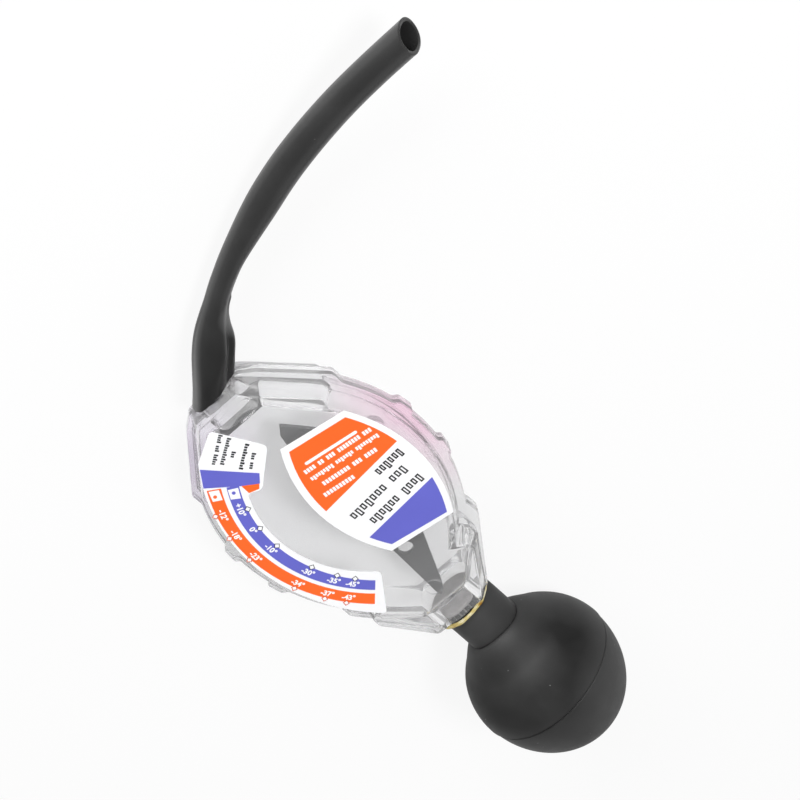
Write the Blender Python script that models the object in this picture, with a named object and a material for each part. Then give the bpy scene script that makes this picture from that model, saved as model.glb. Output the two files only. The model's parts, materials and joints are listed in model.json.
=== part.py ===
"""Dial-type coolant tester: a clear two-shell housing with a swinging vane, a rubber bulb and a pickup hose.

The tester is drawn in its own frame, in metres. X runs along the housing from the hose to the bulb,
Y across it, and Z out of the dial window, with Z = 0 on the plane where the two shells meet. An empty
called rest_frame then lays the whole tester on its back, on the rear shell and the bulb.
"""
import math

import bmesh
import bpy
import numpy as np
from mathutils import Vector

# Clearances
SEAT_GAP = 0.0003
PARTING_GAP = 0.0003
LABEL_GAP = 0.0001
PIN_CLEARANCE = 0.0001
OVERRUN = 0.0010

# Housing seen from the front: the bowed sides are arcs of one circle, mirrored about the long axis
BOW_CENTRE_X = -0.0030
BOW_HALF_WIDTH = 0.0340
BOW_RADIUS = 0.0530
HOSE_END_X = -0.0515
BULB_END_X = 0.0530

# Flange corners on the upper side: a corner as (x, y), a step as (x, rise above the bow) and a shoulder
# as (x, rise above its step)
FLANGE_BULB_END_HALF = 0.0105
FLANGE_BULB_SHOULDER = (0.0312, 0.0001)
FLANGE_BULB_STEP = (0.0272, 0.00105)
FLANGE_HOSE_STEP = (-0.0288, 0.0002)
FLANGE_HOSE_SHOULDER = (-0.0324, 0.0)
FLANGE_HOSE_CORNER = (-0.0482, 0.0135)
FLANGE_HOSE_END_HALF = 0.0092

# The raised tray inside the flange, with its corners given in the same way
LEDGE = 0.0026
TRAY_BULB_END_HALF = 0.0098
TRAY_BULB_SHOULDER = (0.0364, 0.0002)
TRAY_BULB_STEP = (0.0318, 0.00314)
TRAY_HOSE_STEP = (-0.0306, 0.00163)
TRAY_HOSE_SHOULDER = (-0.0334, -0.0002)
TRAY_HOSE_CORNER = (-0.0480, 0.0117)
TRAY_HOSE_END_HALF = 0.0083

FLANGE_THICKNESS = 0.0025
SHELL_DEPTH = 0.0100
SHELL_WALL = 0.0018
WALL_LEAN = 0.0020
WINDOW_CHAMFER = 0.0005
TRAY_ROOT = 0.0010

# Grip nubs on the flange edge
NUB_CENTRES_X = (-0.0101, 0.0080)
NUB_LENGTH = 0.0068
NUB_HEIGHT = 0.0013
NUB_FLANK = 0.0010

# Sockets at the two ends
BULB_SOCKET_DEPTH = 0.0073
NECK_COLLAR_WALL = 0.0010
NECK_COLLAR_END_X = 0.0512
HOSE_SOCKET_DEPTH = 0.0075

# Vane, its pin and its balance weight
PIVOT = (-0.0067, 0.0197)
VANE_THICKNESS = 0.0016
VANE_LIFT = 0.0015
HUB_RADIUS = 0.0040
HUB_HEIGHT = 0.0032
VANE_BOW_TIP = (0.0442, 0.0002)
VANE_TIP = (0.0448, -0.0012)
VANE_TIP_HEEL = (0.0440, -0.0017)
VANE_UPPER_BEND = (0.0419, 0.0018)
VANE_LOWER_BEND = (-0.0215, 0.0023)
VANE_TAIL_HEEL = (-0.0290, 0.0040)
VANE_TAIL = (-0.0314, 0.0060)
VANE_TAIL_SHOULDER = (-0.0300, 0.0072)
SIGHT_HOLE = (0.0248, 0.0027)
SIGHT_HOLE_RADIUS = 0.0023
WEIGHT_PLACE = (-0.0200, 0.0085)
WEIGHT_RADIUS = 0.0021
WEIGHT_HEIGHT = 0.0028
POCKET_WALL = 0.0009
PIN_RADIUS = 0.0008
PIN_LENGTH = 0.0120
BOSS_RADIUS = 0.0028
BOSS_CLEARANCE = 0.0004

# Squeeze bulb, turned about the long axis
NECK_RADIUS = 0.0088
NECK_FLARE_RADIUS = 0.0093
NECK_END_X = 0.0466
SEAM_X = 0.0924
BULB_RADIUS = 0.0246
BULB_FRONT_LENGTH = 0.0243
BULB_REAR_LENGTH = 0.0270
BULB_WALL = 0.0020
NECK_BORE_RADIUS = 0.0064
SEAM_WIDTH = 0.0007
SEAM_DEPTH = 0.0003
REAR_STEP = 0.0003

# Adhesive beads round the neck and the hose
BULB_BEAD_WIDTH = 0.0010
BULB_BEAD_LENGTH = 0.0009
HOSE_BEAD_WIDTH = 0.0007
HOSE_BEAD_LENGTH = 0.0012

# Pickup hose: the route of its centre line, chosen by hand, from inside the socket to the mouth,
# with x counted from the housing's hose end
HOSE_DIAMETER = 0.0091
HOSE_WALL = 0.0009
TONGUE_WIDTH = 0.0120
TONGUE_HEIGHT = 0.0042
WAIST_WIDTH = 0.0069
WAIST_HEIGHT = 0.0098
HOSE_ROUTE = (
    (0.0075, 0.0004, 0.0), (0.0035, 0.0004, 0.0), (-0.0001, 0.0005, 0.0), (-0.0026, 0.0028, 0.0),
    (-0.0070, 0.0074, 0.0), (-0.0101, 0.0104, 0.0), (-0.0128, 0.0132, 0.0), (-0.0150, 0.0159, 0.0),
    (-0.0173, 0.0191, 0.0), (-0.0198, 0.0231, 0.0), (-0.0223, 0.0279, 0.0), (-0.0251, 0.0342, 0.0001),
    (-0.0290, 0.0447, 0.0006), (-0.0321, 0.0540, 0.0016), (-0.0347, 0.0632, 0.0032),
    (-0.0371, 0.0740, 0.0056), (-0.0391, 0.0852, 0.0086), (-0.0407, 0.0970, 0.0124),
    (-0.0420, 0.1085, 0.0166),
)
# Shares of the hose's length at which the tongue ends, the waist stands and the round tube begins
TONGUE_END_SHARE = 0.150
WAIST_SHARE = 0.290
TUBE_START_SHARE = 0.430
MOUTH_CUT_SIDEWAYS_DEG = 14.0
MOUTH_CUT_FORWARD_DEG = 12.0
HOSE_STATIONS = 56
HOSE_SIDES = 16

# Labels on the window: corners as (x, y), and circles as (centre x, centre y, radius) for bowed edges
LABEL_THICKNESS = 0.0002
LABEL_UPPER_BOW = (-0.0032, -0.0173, 0.0473)
LABEL_LOWER_BOW = (-0.0042, 0.0422, 0.0460)
LABEL_HOSE_EDGE = ((-0.0291, 0.0040), (-0.0259, 0.0249))
LABEL_BULB_EDGE = ((0.0183, 0.0018), (0.0211, 0.0229))
SCALE_OUTER_BOW = (-0.0051, 0.0291, 0.0578)
SCALE_OUTER_ENDS = ((-0.0420, -0.0148), (0.0334, -0.0138))
SCALE_INNER_RADIUS = 0.0374
NOTE_CORNER = (-0.0474, -0.0056)
NOTE_START_RADIUS = 0.0332
NOTE_END_RADIUS = 0.0314
SCALE_END_DEG = -41.5
NOTE_START_DEG = -120.5
NOTE_END_DEG = -146.0
LABEL_CORNER = 0.0015

ROUND_SIDES = 32
BULB_SIDES = 36
ARC_STEPS = 16


def clear_scene():
    """Empties the scene that the script starts in."""
    for thing in list(bpy.data.objects):
        bpy.data.objects.remove(thing, do_unlink=True)


def make_material(name, colour, roughness, metallic=0.0, alpha=1.0):
    """One Principled material with a plain colour."""
    material = bpy.data.materials.new(name)
    material.use_nodes = True
    shader = material.node_tree.nodes["Principled BSDF"]
    shader.inputs["Base Color"].default_value = (*colour, 1.0)
    shader.inputs["Roughness"].default_value = roughness
    shader.inputs["Metallic"].default_value = metallic
    shader.inputs["Alpha"].default_value = alpha
    material.diffuse_color = (*colour, alpha)
    return material


def new_object(name, bm, material=None, smooth_deg=35.0):
    """Turns a bmesh into an object, with outward faces and round parts shaded smooth."""
    bmesh.ops.recalc_face_normals(bm, faces=bm.faces)
    mesh = bpy.data.meshes.new(name)
    bm.to_mesh(mesh)
    bm.free()
    thing = bpy.data.objects.new(name, mesh)
    bpy.context.scene.collection.objects.link(thing)
    if material is not None:
        mesh.materials.append(material)
    mesh.shade_smooth()
    mesh.set_sharp_from_angle(angle=math.radians(smooth_deg))
    return thing


def loft(rings, closed_ends=True, loop=False):
    """Skins a list of rings that all have the same number of points; ends are capped or joined."""
    bm = bmesh.new()
    rows = [[bm.verts.new(point) for point in ring] for ring in rings]
    count = len(rows[0])
    pairs = list(zip(rows, rows[1:]))
    if loop:
        pairs.append((rows[-1], rows[0]))
    for low, high in pairs:
        for i in range(count):
            j = (i + 1) % count
            bm.faces.new((low[i], low[j], high[j], high[i]))
    if closed_ends and not loop:
        bm.faces.new(rows[0][::-1])
        bm.faces.new(rows[-1])
    return bm


def level(outline, z):
    """Lifts a flat outline to height z."""
    return [(x, y, z) for x, y in outline]


def prism(name, outline, low, high, material=None):
    """A straight block with the given outline."""
    return new_object(name, loft([level(outline, low), level(outline, high)]), material)


def rod(name, place, radius, low, high, sides=ROUND_SIDES, material=None):
    """A round bar along Z."""
    outline = arc(place, radius, 0.0, 360.0, sides)[:-1]
    return prism(name, outline, low, high, material)


def combine(target, tool, operation):
    """Joins or cuts the target by the tool, which is kept as a hidden wire guide."""
    modifier = target.modifiers.new(f"{operation.lower()}_{tool.name}", "BOOLEAN")
    modifier.operation = operation
    modifier.solver = "EXACT"
    modifier.object = tool
    tool.hide_render = True
    tool.display_type = "WIRE"


def arc(centre, radius, start_deg, end_deg, steps):
    """Points along an arc, both ends included."""
    angles = np.radians(np.linspace(start_deg, end_deg, steps + 1))
    return [(centre[0] + radius * math.cos(a), centre[1] + radius * math.sin(a)) for a in angles]


def inset(outline, distance):
    """Moves every side of a closed anticlockwise outline inwards by the distance."""
    points = np.array(outline)
    before = points - np.roll(points, 1, axis=0)
    after = np.roll(points, -1, axis=0) - points
    before /= np.linalg.norm(before, axis=1)[:, None]
    after /= np.linalg.norm(after, axis=1)[:, None]
    normal = np.stack([-(before + after)[:, 1], (before + after)[:, 0]], axis=1)
    normal /= np.linalg.norm(normal, axis=1)[:, None]
    lean = normal[:, 0] * -before[:, 1] + normal[:, 1] * before[:, 0]
    return [tuple(p) for p in points + normal * (distance / lean)[:, None]]


def bow_point(radius, x):
    """The point of the upper bow at x, on a circle of the given radius about the bow's centre."""
    dx = x - BOW_CENTRE_X
    return (x, BOW_HALF_WIDTH - BOW_RADIUS + math.sqrt(radius ** 2 - dx ** 2))


def bow(radius, start_x, end_x, steps):
    """Points along the upper bow from one x to the next."""
    return [bow_point(radius, x) for x in np.linspace(start_x, end_x, steps + 1)]


def stepped(radius, step, shoulder):
    """A step off the bow of the given radius and the shoulder beyond it, as two points."""
    step_y = bow_point(radius, step[0])[1] + step[1]
    return [(step[0], step_y), (shoulder[0], step_y + shoulder[1])]


def mirrored(upper):
    """Closes an upper half, which runs from the bulb end to the hose end, with its mirror image."""
    return upper + [(x, -y) for x, y in reversed(upper)]


def flange_outline():
    """The stepped flange edge: wedge-shaped ends, bowed sides and two grip nubs on each side."""
    side = []
    last = FLANGE_BULB_STEP[0] - NUB_FLANK
    for centre in sorted(NUB_CENTRES_X, reverse=True):
        high, low = centre + NUB_LENGTH / 2, centre - NUB_LENGTH / 2
        side += bow(BOW_RADIUS, last, high, ARC_STEPS // 4)
        side += bow(BOW_RADIUS + NUB_HEIGHT, high - NUB_FLANK, low + NUB_FLANK, 2)
        last = low
    side += bow(BOW_RADIUS, last, FLANGE_HOSE_STEP[0] + NUB_FLANK, ARC_STEPS // 4)
    upper = [(BULB_END_X, FLANGE_BULB_END_HALF)]
    upper += stepped(BOW_RADIUS, FLANGE_BULB_STEP, FLANGE_BULB_SHOULDER)[::-1]
    upper += side
    upper += stepped(BOW_RADIUS, FLANGE_HOSE_STEP, FLANGE_HOSE_SHOULDER)
    upper += [FLANGE_HOSE_CORNER, (HOSE_END_X, FLANGE_HOSE_END_HALF)]
    return mirrored(upper)


def tray_outline():
    """The foot of the raised tray, which follows the flange at a ledge's width."""
    radius = BOW_RADIUS - LEDGE
    upper = [(BULB_END_X, TRAY_BULB_END_HALF)]
    upper += stepped(radius, TRAY_BULB_STEP, TRAY_BULB_SHOULDER)[::-1]
    upper += bow(radius, TRAY_BULB_STEP[0] - LEDGE / 2, TRAY_HOSE_STEP[0] + LEDGE / 2, ARC_STEPS)
    upper += stepped(radius, TRAY_HOSE_STEP, TRAY_HOSE_SHOULDER)
    upper += [TRAY_HOSE_CORNER, (HOSE_END_X, TRAY_HOSE_END_HALF)]
    return mirrored(upper)


def chamber_outline():
    """The hollow's outline: the tray less its wall, stopped short of both sockets."""
    wall = inset(tray_outline(), SHELL_WALL)
    low = HOSE_END_X + HOSE_SOCKET_DEPTH
    high = BULB_END_X - BULB_SOCKET_DEPTH
    kept = [(min(max(x, low), high), y) for x, y in wall]
    return kept


def superellipse(width, height, sides, power=2.4):
    """A rounded section of the given width and height, as (across, up) pairs."""
    out = []
    for k in range(sides):
        a = 2 * math.pi * k / sides
        c, s = math.cos(a), math.sin(a)
        out.append((width / 2 * math.copysign(abs(c) ** (2 / power), c),
                    height / 2 * math.copysign(abs(s) ** (2 / power), s)))
    return out


def smooth_route(points, count):
    """Points at even spacing along a smooth curve through the route's own points."""
    p = np.array([points[0], *points, points[-1]])
    fine = []
    for a, b, c, d in zip(p, p[1:], p[2:], p[3:]):
        for t in np.linspace(0.0, 1.0, 12, endpoint=False):
            fine.append(0.5 * (2 * b + (c - a) * t + (2 * a - 5 * b + 4 * c - d) * t ** 2
                               + (3 * b - a - 3 * c + d) * t ** 3))
    fine.append(p[-1])
    fine = np.array(fine)
    run = np.concatenate([[0.0], np.cumsum(np.linalg.norm(np.diff(fine, axis=0), axis=1))])
    at = np.linspace(0.0, run[-1], count)
    return np.stack([np.interp(at, run, fine[:, k]) for k in range(3)], axis=1)


def hose_frames():
    """The hose's stations: a centre, a direction, and the across and up directions of its section.

    At the slot the route turns at once, while the wide section swings round only as fast as its
    inner edge can clear the housing's end.
    """
    centre = smooth_route(np.array(HOSE_ROUTE) + (HOSE_END_X, 0.0, 0.0), HOSE_STATIONS)
    ahead = np.gradient(centre, axis=0)
    ahead /= np.linalg.norm(ahead, axis=1)[:, None]
    room = HOSE_END_X - SEAT_GAP * 2 - centre[:, 0]
    swing = np.arcsin(np.clip(room / (TONGUE_WIDTH / 2), 0.0, 1.0))
    turn = np.arctan2(ahead[:, 1], -ahead[:, 0])
    held = np.minimum(turn, swing)
    flat = turn > swing
    ahead[flat] = np.stack([-np.cos(held), np.sin(held), np.zeros_like(held)], axis=1)[flat]
    up = np.array([0.0, 0.0, 1.0]) - ahead * ahead[:, 2:3]
    up /= np.linalg.norm(up, axis=1)[:, None]
    across = np.cross(up, ahead)
    return centre, ahead, across, up


def hose_sizes(share):
    """Width and height of the hose's section at a share of its length, eased from each stage to the next."""
    stages = ((TONGUE_END_SHARE, TONGUE_WIDTH, TONGUE_HEIGHT), (WAIST_SHARE, WAIST_WIDTH, WAIST_HEIGHT),
              (TUBE_START_SHARE, HOSE_DIAMETER, HOSE_DIAMETER))
    width, height = TONGUE_WIDTH, TONGUE_HEIGHT
    for (start, wide, high), (end, next_wide, next_high) in zip(stages, stages[1:]):
        t = min(max((share - start) / (end - start), 0.0), 1.0)
        ease = t * t * (3.0 - 2.0 * t)
        width += (next_wide - wide) * ease
        height += (next_high - high) * ease
    return width, height


def hose_ring(frames, k, wall):
    """One ring of the hose, its wall's thickness in from the outer skin."""
    centre, ahead, across, up = (f[k] for f in frames)
    width, height = hose_sizes(k / (HOSE_STATIONS - 1))
    power = 2.0 + 0.8 * max(0.0, 1.0 - height / width)
    section = superellipse(width - 2 * wall, height - 2 * wall, HOSE_SIDES, power)
    return [centre + a * across + b * up for a, b in section]


def cut_mouth(ring, frames):
    """Slides the last ring along the hose onto the oblique plane of the cut mouth."""
    centre, ahead, across, up = (f[-1] for f in frames)
    sideways = math.tan(math.radians(MOUTH_CUT_SIDEWAYS_DEG))
    forward = math.tan(math.radians(MOUTH_CUT_FORWARD_DEG))
    return [p - ahead * (np.dot(p - centre, across) * -sideways + np.dot(p - centre, up) * forward)
            for p in ring]


def make_hose(material):
    """The rubber hose: a flat tongue that swells, pinches at its waist and turns into a round tube."""
    frames = hose_frames()
    outer = [hose_ring(frames, k, 0.0) for k in range(HOSE_STATIONS)]
    inner = [hose_ring(frames, k, HOSE_WALL) for k in range(HOSE_STATIONS)]
    outer[-1] = cut_mouth(outer[-1], frames)
    inner[-1] = cut_mouth(inner[-1], frames)
    return new_object("pickup_hose", loft(outer + inner[::-1], loop=True), material, 50.0)


def tongue_ring(x, grow):
    """The hose tongue's section, grown all round, at a place along the slot."""
    section = superellipse(TONGUE_WIDTH + 2 * grow, TONGUE_HEIGHT + 2 * grow, HOSE_SIDES * 2, 2.6)
    return [(x, HOSE_ROUTE[0][1] + a, b) for a, b in section]


def make_hose_bead(material):
    """The adhesive that fills the widened mouth of the slot round the hose's tongue."""
    deep = HOSE_END_X + HOSE_BEAD_LENGTH
    rings = [tongue_ring(HOSE_END_X, SEAT_GAP), tongue_ring(HOSE_END_X, SEAT_GAP + HOSE_BEAD_WIDTH),
             tongue_ring(deep, SEAT_GAP + HOSE_BEAD_WIDTH), tongue_ring(deep, SEAT_GAP)]
    return new_object("hose_bead", loft(rings, loop=True), material, 60.0)


def turn_about_x(profile, sides):
    """A profile of (x, radius) pairs turned about the long axis, as rings; a zero radius is a pole."""
    bm = bmesh.new()
    rows = []
    for x, radius in profile:
        if radius == 0.0:
            rows.append([bm.verts.new((x, 0.0, 0.0))])
        else:
            angles = [2 * math.pi * k / sides for k in range(sides)]
            rows.append([bm.verts.new((x, radius * math.cos(a), radius * math.sin(a))) for a in angles])
    for low, high in zip(rows, rows[1:] + rows[:1]):
        for i in range(sides):
            j = (i + 1) % sides
            if len(low) == 1 and len(high) == 1:
                break
            if len(low) == 1:
                bm.faces.new((low[0], high[j], high[i]))
            elif len(high) == 1:
                bm.faces.new((low[i], low[j], high[0]))
            else:
                bm.faces.new((low[i], low[j], high[j], high[i]))
    return bm


def dome(length, radius, start_deg, end_deg, steps):
    """Points of a half-ellipse dome about the seam, as (x, radius); 0 degrees is the seam."""
    angles = np.radians(np.linspace(start_deg, end_deg, steps + 1))
    return [(SEAM_X + length * math.sin(a), radius * math.cos(a)) for a in angles]


def neck_angle(length, radius, neck):
    """The angle on the front dome at which it meets the neck."""
    return -math.degrees(math.acos(neck / radius))


def make_bulb(material):
    """The hollow rubber bulb, its neck, and the fine mould seam round its middle."""
    start = neck_angle(BULB_FRONT_LENGTH, BULB_RADIUS, NECK_FLARE_RADIUS)
    seam_deg = math.degrees(SEAM_WIDTH / BULB_RADIUS)
    outer = [(NECK_END_X, NECK_RADIUS), (BULB_END_X, NECK_RADIUS)]
    outer += dome(BULB_FRONT_LENGTH, BULB_RADIUS, start, -seam_deg, ARC_STEPS)
    outer += [(SEAM_X, BULB_RADIUS - SEAM_DEPTH)]
    outer += dome(BULB_REAR_LENGTH, BULB_RADIUS - REAR_STEP, seam_deg, 90.0, ARC_STEPS)[:-1]
    outer += [(SEAM_X + BULB_REAR_LENGTH, 0.0)]
    inside = BULB_RADIUS - BULB_WALL
    inner = [(SEAM_X + BULB_REAR_LENGTH - BULB_WALL, 0.0)]
    inner += dome(BULB_REAR_LENGTH - BULB_WALL, inside, 90.0, 0.0, ARC_STEPS // 2)[1:]
    stop = neck_angle(BULB_FRONT_LENGTH, inside, NECK_BORE_RADIUS)
    inner += dome(BULB_FRONT_LENGTH - BULB_WALL, inside, 0.0, stop, ARC_STEPS // 2)[1:]
    inner += [(NECK_END_X, NECK_BORE_RADIUS)]
    return new_object("squeeze_bulb", turn_about_x(outer + inner, BULB_SIDES), material, 32.0)


def make_bulb_bead(material):
    """The yellowed ring of adhesive in the corner between the neck and the housing's end."""
    inner = NECK_RADIUS + SEAT_GAP
    start = BULB_END_X + SEAT_GAP
    profile = [(start, inner), (start + BULB_BEAD_LENGTH, inner + SEAT_GAP)]
    for a in np.radians(np.linspace(20.0, 90.0, 4)):
        profile.append((start + BULB_BEAD_LENGTH * math.cos(a), inner + BULB_BEAD_WIDTH * math.sin(a)))
    return new_object("bulb_bead", turn_about_x(profile, BULB_SIDES), material, 60.0)


def axial_bar(name, radius, start_x, end_x):
    """A round bar along the long axis."""
    angles = [2 * math.pi * k / BULB_SIDES for k in range(BULB_SIDES)]
    rings = [[(x, radius * math.cos(a), radius * math.sin(a)) for a in angles] for x in (start_x, end_x)]
    return new_object(name, loft(rings))


def half_bar(name, radius, start_x, end_x, side):
    """The half of such a bar that lies in one shell, cut off inside the shell's flange."""
    angles = [math.pi * k / (BULB_SIDES // 2) for k in range(BULB_SIDES // 2 + 1)]
    rings = [[(x, radius * math.cos(a), side * max(radius * math.sin(a), TRAY_ROOT)) for a in angles]
             for x in (start_x, end_x)]
    return new_object(name, loft(rings))


def shell_solid(name, material, side):
    """One half of the housing; side is 1 for the front half and -1 for the rear half."""
    split = side * PARTING_GAP / 2
    flange = flange_outline()
    tray = tray_outline()
    shell = prism(name, flange, split, side * FLANGE_THICKNESS, material)
    straight = SHELL_DEPTH - WINDOW_CHAMFER
    raised = new_object(f"{name}_tray_guide", loft([
        level(tray, side * TRAY_ROOT), level(tray, side * FLANGE_THICKNESS),
        level(inset(tray, WALL_LEAN), side * straight),
        level(inset(tray, WALL_LEAN + WINDOW_CHAMFER), side * SHELL_DEPTH)]))
    combine(shell, raised, "UNION")
    collar = half_bar(f"{name}_collar_guide", NECK_RADIUS + SEAT_GAP + NECK_COLLAR_WALL,
                      BULB_END_X - BULB_SOCKET_DEPTH, NECK_COLLAR_END_X, side)
    combine(shell, collar, "UNION")
    hollow = chamber_outline()
    floor = SHELL_DEPTH - SHELL_WALL
    cavity = new_object(f"{name}_chamber_guide", loft([
        level(hollow, -side * OVERRUN), level(hollow, side * FLANGE_THICKNESS),
        level(inset(hollow, WALL_LEAN), side * (floor - WINDOW_CHAMFER)),
        level(inset(hollow, WALL_LEAN + WINDOW_CHAMFER), side * floor)]))
    combine(shell, cavity, "DIFFERENCE")
    bore = NECK_RADIUS + SEAT_GAP
    inner_end = BULB_END_X - BULB_SOCKET_DEPTH - OVERRUN
    neck = axial_bar(f"{name}_neck_guide", bore, inner_end, BULB_END_X + OVERRUN)
    combine(shell, neck, "DIFFERENCE")
    mouth = SEAT_GAP * 2 + HOSE_BEAD_WIDTH
    step = HOSE_END_X + HOSE_BEAD_LENGTH + SEAT_GAP
    slot = loft([tongue_ring(HOSE_END_X + HOSE_SOCKET_DEPTH + OVERRUN, SEAT_GAP), tongue_ring(step, SEAT_GAP),
                 tongue_ring(step, mouth), tongue_ring(HOSE_END_X - OVERRUN, mouth)])
    combine(shell, new_object(f"{name}_slot_guide", slot), "DIFFERENCE")
    boss_face = VANE_LIFT + side * (HUB_HEIGHT / 2 + BOSS_CLEARANCE)
    boss = rod(f"{name}_boss_guide", PIVOT, BOSS_RADIUS, boss_face, side * (SHELL_DEPTH - SHELL_WALL / 2))
    combine(shell, boss, "UNION")
    pin_end = VANE_LIFT + side * (PIN_LENGTH / 2 + SEAT_GAP)
    hole = rod(f"{name}_pin_guide", PIVOT, PIN_RADIUS + PIN_CLEARANCE, VANE_LIFT, pin_end, ROUND_SIDES // 2)
    combine(shell, hole, "DIFFERENCE")
    return shell


def vane_outline():
    """The vane's outline: a long pointer, a broad hub lobe and a short blunt tail."""
    tail = np.array(VANE_TAIL_SHOULDER) - np.array(PIVOT)
    nose = np.array(VANE_UPPER_BEND) - np.array(PIVOT)
    tail_deg = math.degrees(math.atan2(tail[1], tail[0]))
    nose_deg = math.degrees(math.atan2(nose[1], nose[0]))
    lobe = arc(PIVOT, HUB_RADIUS, nose_deg + 90.0, tail_deg + 360.0 - 90.0, ARC_STEPS // 2)
    return [VANE_BOW_TIP, VANE_UPPER_BEND, *lobe, VANE_TAIL_SHOULDER, VANE_TAIL, VANE_TAIL_HEEL,
            VANE_LOWER_BEND, VANE_TIP_HEEL, VANE_TIP]


def vane_levels(height):
    """Bottom and top of a slab of the given height about the vane's middle plane."""
    return VANE_LIFT - height / 2, VANE_LIFT + height / 2


def make_vane(material):
    """The flat vane with its hub, the sight hole near its tip and the pocket for its weight."""
    vane = prism("indicator_vane", vane_outline(), *vane_levels(VANE_THICKNESS), material)
    combine(vane, rod("hub_guide", PIVOT, HUB_RADIUS - OVERRUN / 2, *vane_levels(HUB_HEIGHT)), "UNION")
    rim = WEIGHT_RADIUS + SEAT_GAP + POCKET_WALL
    combine(vane, rod("pocket_rim_guide", WEIGHT_PLACE, rim, *vane_levels(WEIGHT_HEIGHT)), "UNION")
    through = vane_levels(HUB_HEIGHT * 2)
    combine(vane, rod("pocket_guide", WEIGHT_PLACE, WEIGHT_RADIUS + SEAT_GAP, *through), "DIFFERENCE")
    combine(vane, rod("sight_guide", SIGHT_HOLE, SIGHT_HOLE_RADIUS, *through), "DIFFERENCE")
    pin_hole = rod("pin_hole_guide", PIVOT, PIN_RADIUS + PIN_CLEARANCE, *through, ROUND_SIDES // 2)
    combine(vane, pin_hole, "DIFFERENCE")
    return vane


def centre_label_outline():
    """The barrel-shaped centre label: two bowed edges between two slanted ones."""
    def along(bow_circle, start, end, steps):
        cx, cy, radius = bow_circle
        first = math.degrees(math.atan2(start[1] - cy, start[0] - cx))
        last = math.degrees(math.atan2(end[1] - cy, end[0] - cx))
        return arc((cx, cy), radius, first, last, steps)

    (hose_low, hose_high), (bulb_low, bulb_high) = LABEL_HOSE_EDGE, LABEL_BULB_EDGE
    return (along(LABEL_LOWER_BOW, hose_low, bulb_low, ARC_STEPS)
            + along(LABEL_UPPER_BOW, bulb_high, hose_high, ARC_STEPS))


def rounded(outline, radius, least_turn_deg=30.0):
    """Rounds each sharp corner of an anticlockwise outline with a short arc of three points."""
    out = []
    points = [np.array(p) for p in outline]
    for before, corner, after in zip(points[-1:] + points[:-1], points, points[1:] + points[:1]):
        back, on = before - corner, after - corner
        reach = min(radius, np.linalg.norm(back) / 2, np.linalg.norm(on) / 2)
        back, on = back / np.linalg.norm(back), on / np.linalg.norm(on)
        turn = 180.0 - math.degrees(math.acos(float(np.clip(np.dot(back, on), -1.0, 1.0))))
        if turn < least_turn_deg:
            out.append(tuple(corner))
            continue
        for t in (0.0, 0.25, 0.5, 0.75, 1.0):
            out.append(tuple(corner + back * reach * (1 - t) ** 2 + on * reach * t ** 2))
    return out


def scale_label_outline():
    """The scale label: a ring segment about the pivot, wider inwards where it holds the note."""
    cx, cy, radius = SCALE_OUTER_BOW
    ends = [math.degrees(math.atan2(y - cy, x - cx)) for x, y in SCALE_OUTER_ENDS]
    outer = arc((cx, cy), radius, ends[0], ends[1], ARC_STEPS * 2)
    inner = arc(PIVOT, SCALE_INNER_RADIUS, SCALE_END_DEG, NOTE_START_DEG, ARC_STEPS)
    note = (arc(PIVOT, NOTE_START_RADIUS, NOTE_START_DEG, NOTE_END_DEG, 1)[:1]
            + arc(PIVOT, NOTE_END_RADIUS, NOTE_START_DEG, NOTE_END_DEG, 1)[1:])
    return rounded([NOTE_CORNER, *outer, *inner, *note], LABEL_CORNER)


def make_label(name, outline, material):
    """A printed film that lies on the window."""
    low = SHELL_DEPTH + LABEL_GAP
    return prism(name, outline, low, low + LABEL_THICKNESS, material)


def lay_down(things):
    """Parents everything to one empty that tips the tester until bulb and rear shell share a floor."""
    frame = bpy.data.objects.new("rest_frame", None)
    bpy.context.scene.collection.objects.link(frame)
    heel_x = HOSE_END_X
    reach = SEAM_X - heel_x
    lean = math.hypot(reach, SHELL_DEPTH)
    pitch = math.asin(BULB_RADIUS / lean) - math.atan2(SHELL_DEPTH, reach)
    for thing in things:
        thing.parent = frame
    frame.rotation_euler = (0.0, -pitch, 0.0)
    bpy.context.view_layer.update()
    depsgraph = bpy.context.evaluated_depsgraph_get()
    low, high = np.full(3, np.inf), np.full(3, -np.inf)
    for thing in things:
        if thing.type != "MESH" or thing.hide_render:
            continue
        shown = thing.evaluated_get(depsgraph)
        mesh = shown.to_mesh()
        spots = np.empty(len(mesh.vertices) * 3)
        mesh.vertices.foreach_get("co", spots)
        turned = spots.reshape(-1, 3) @ np.array(shown.matrix_world)[:3, :3].T + np.array(
            shown.matrix_world)[:3, 3]
        low, high = np.minimum(low, turned.min(axis=0)), np.maximum(high, turned.max(axis=0))
        shown.to_mesh_clear()
    frame.location = (-(low[0] + high[0]) / 2, -(low[1] + high[1]) / 2, -low[2])
    bpy.context.view_layer.update()
    return frame, pitch


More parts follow.
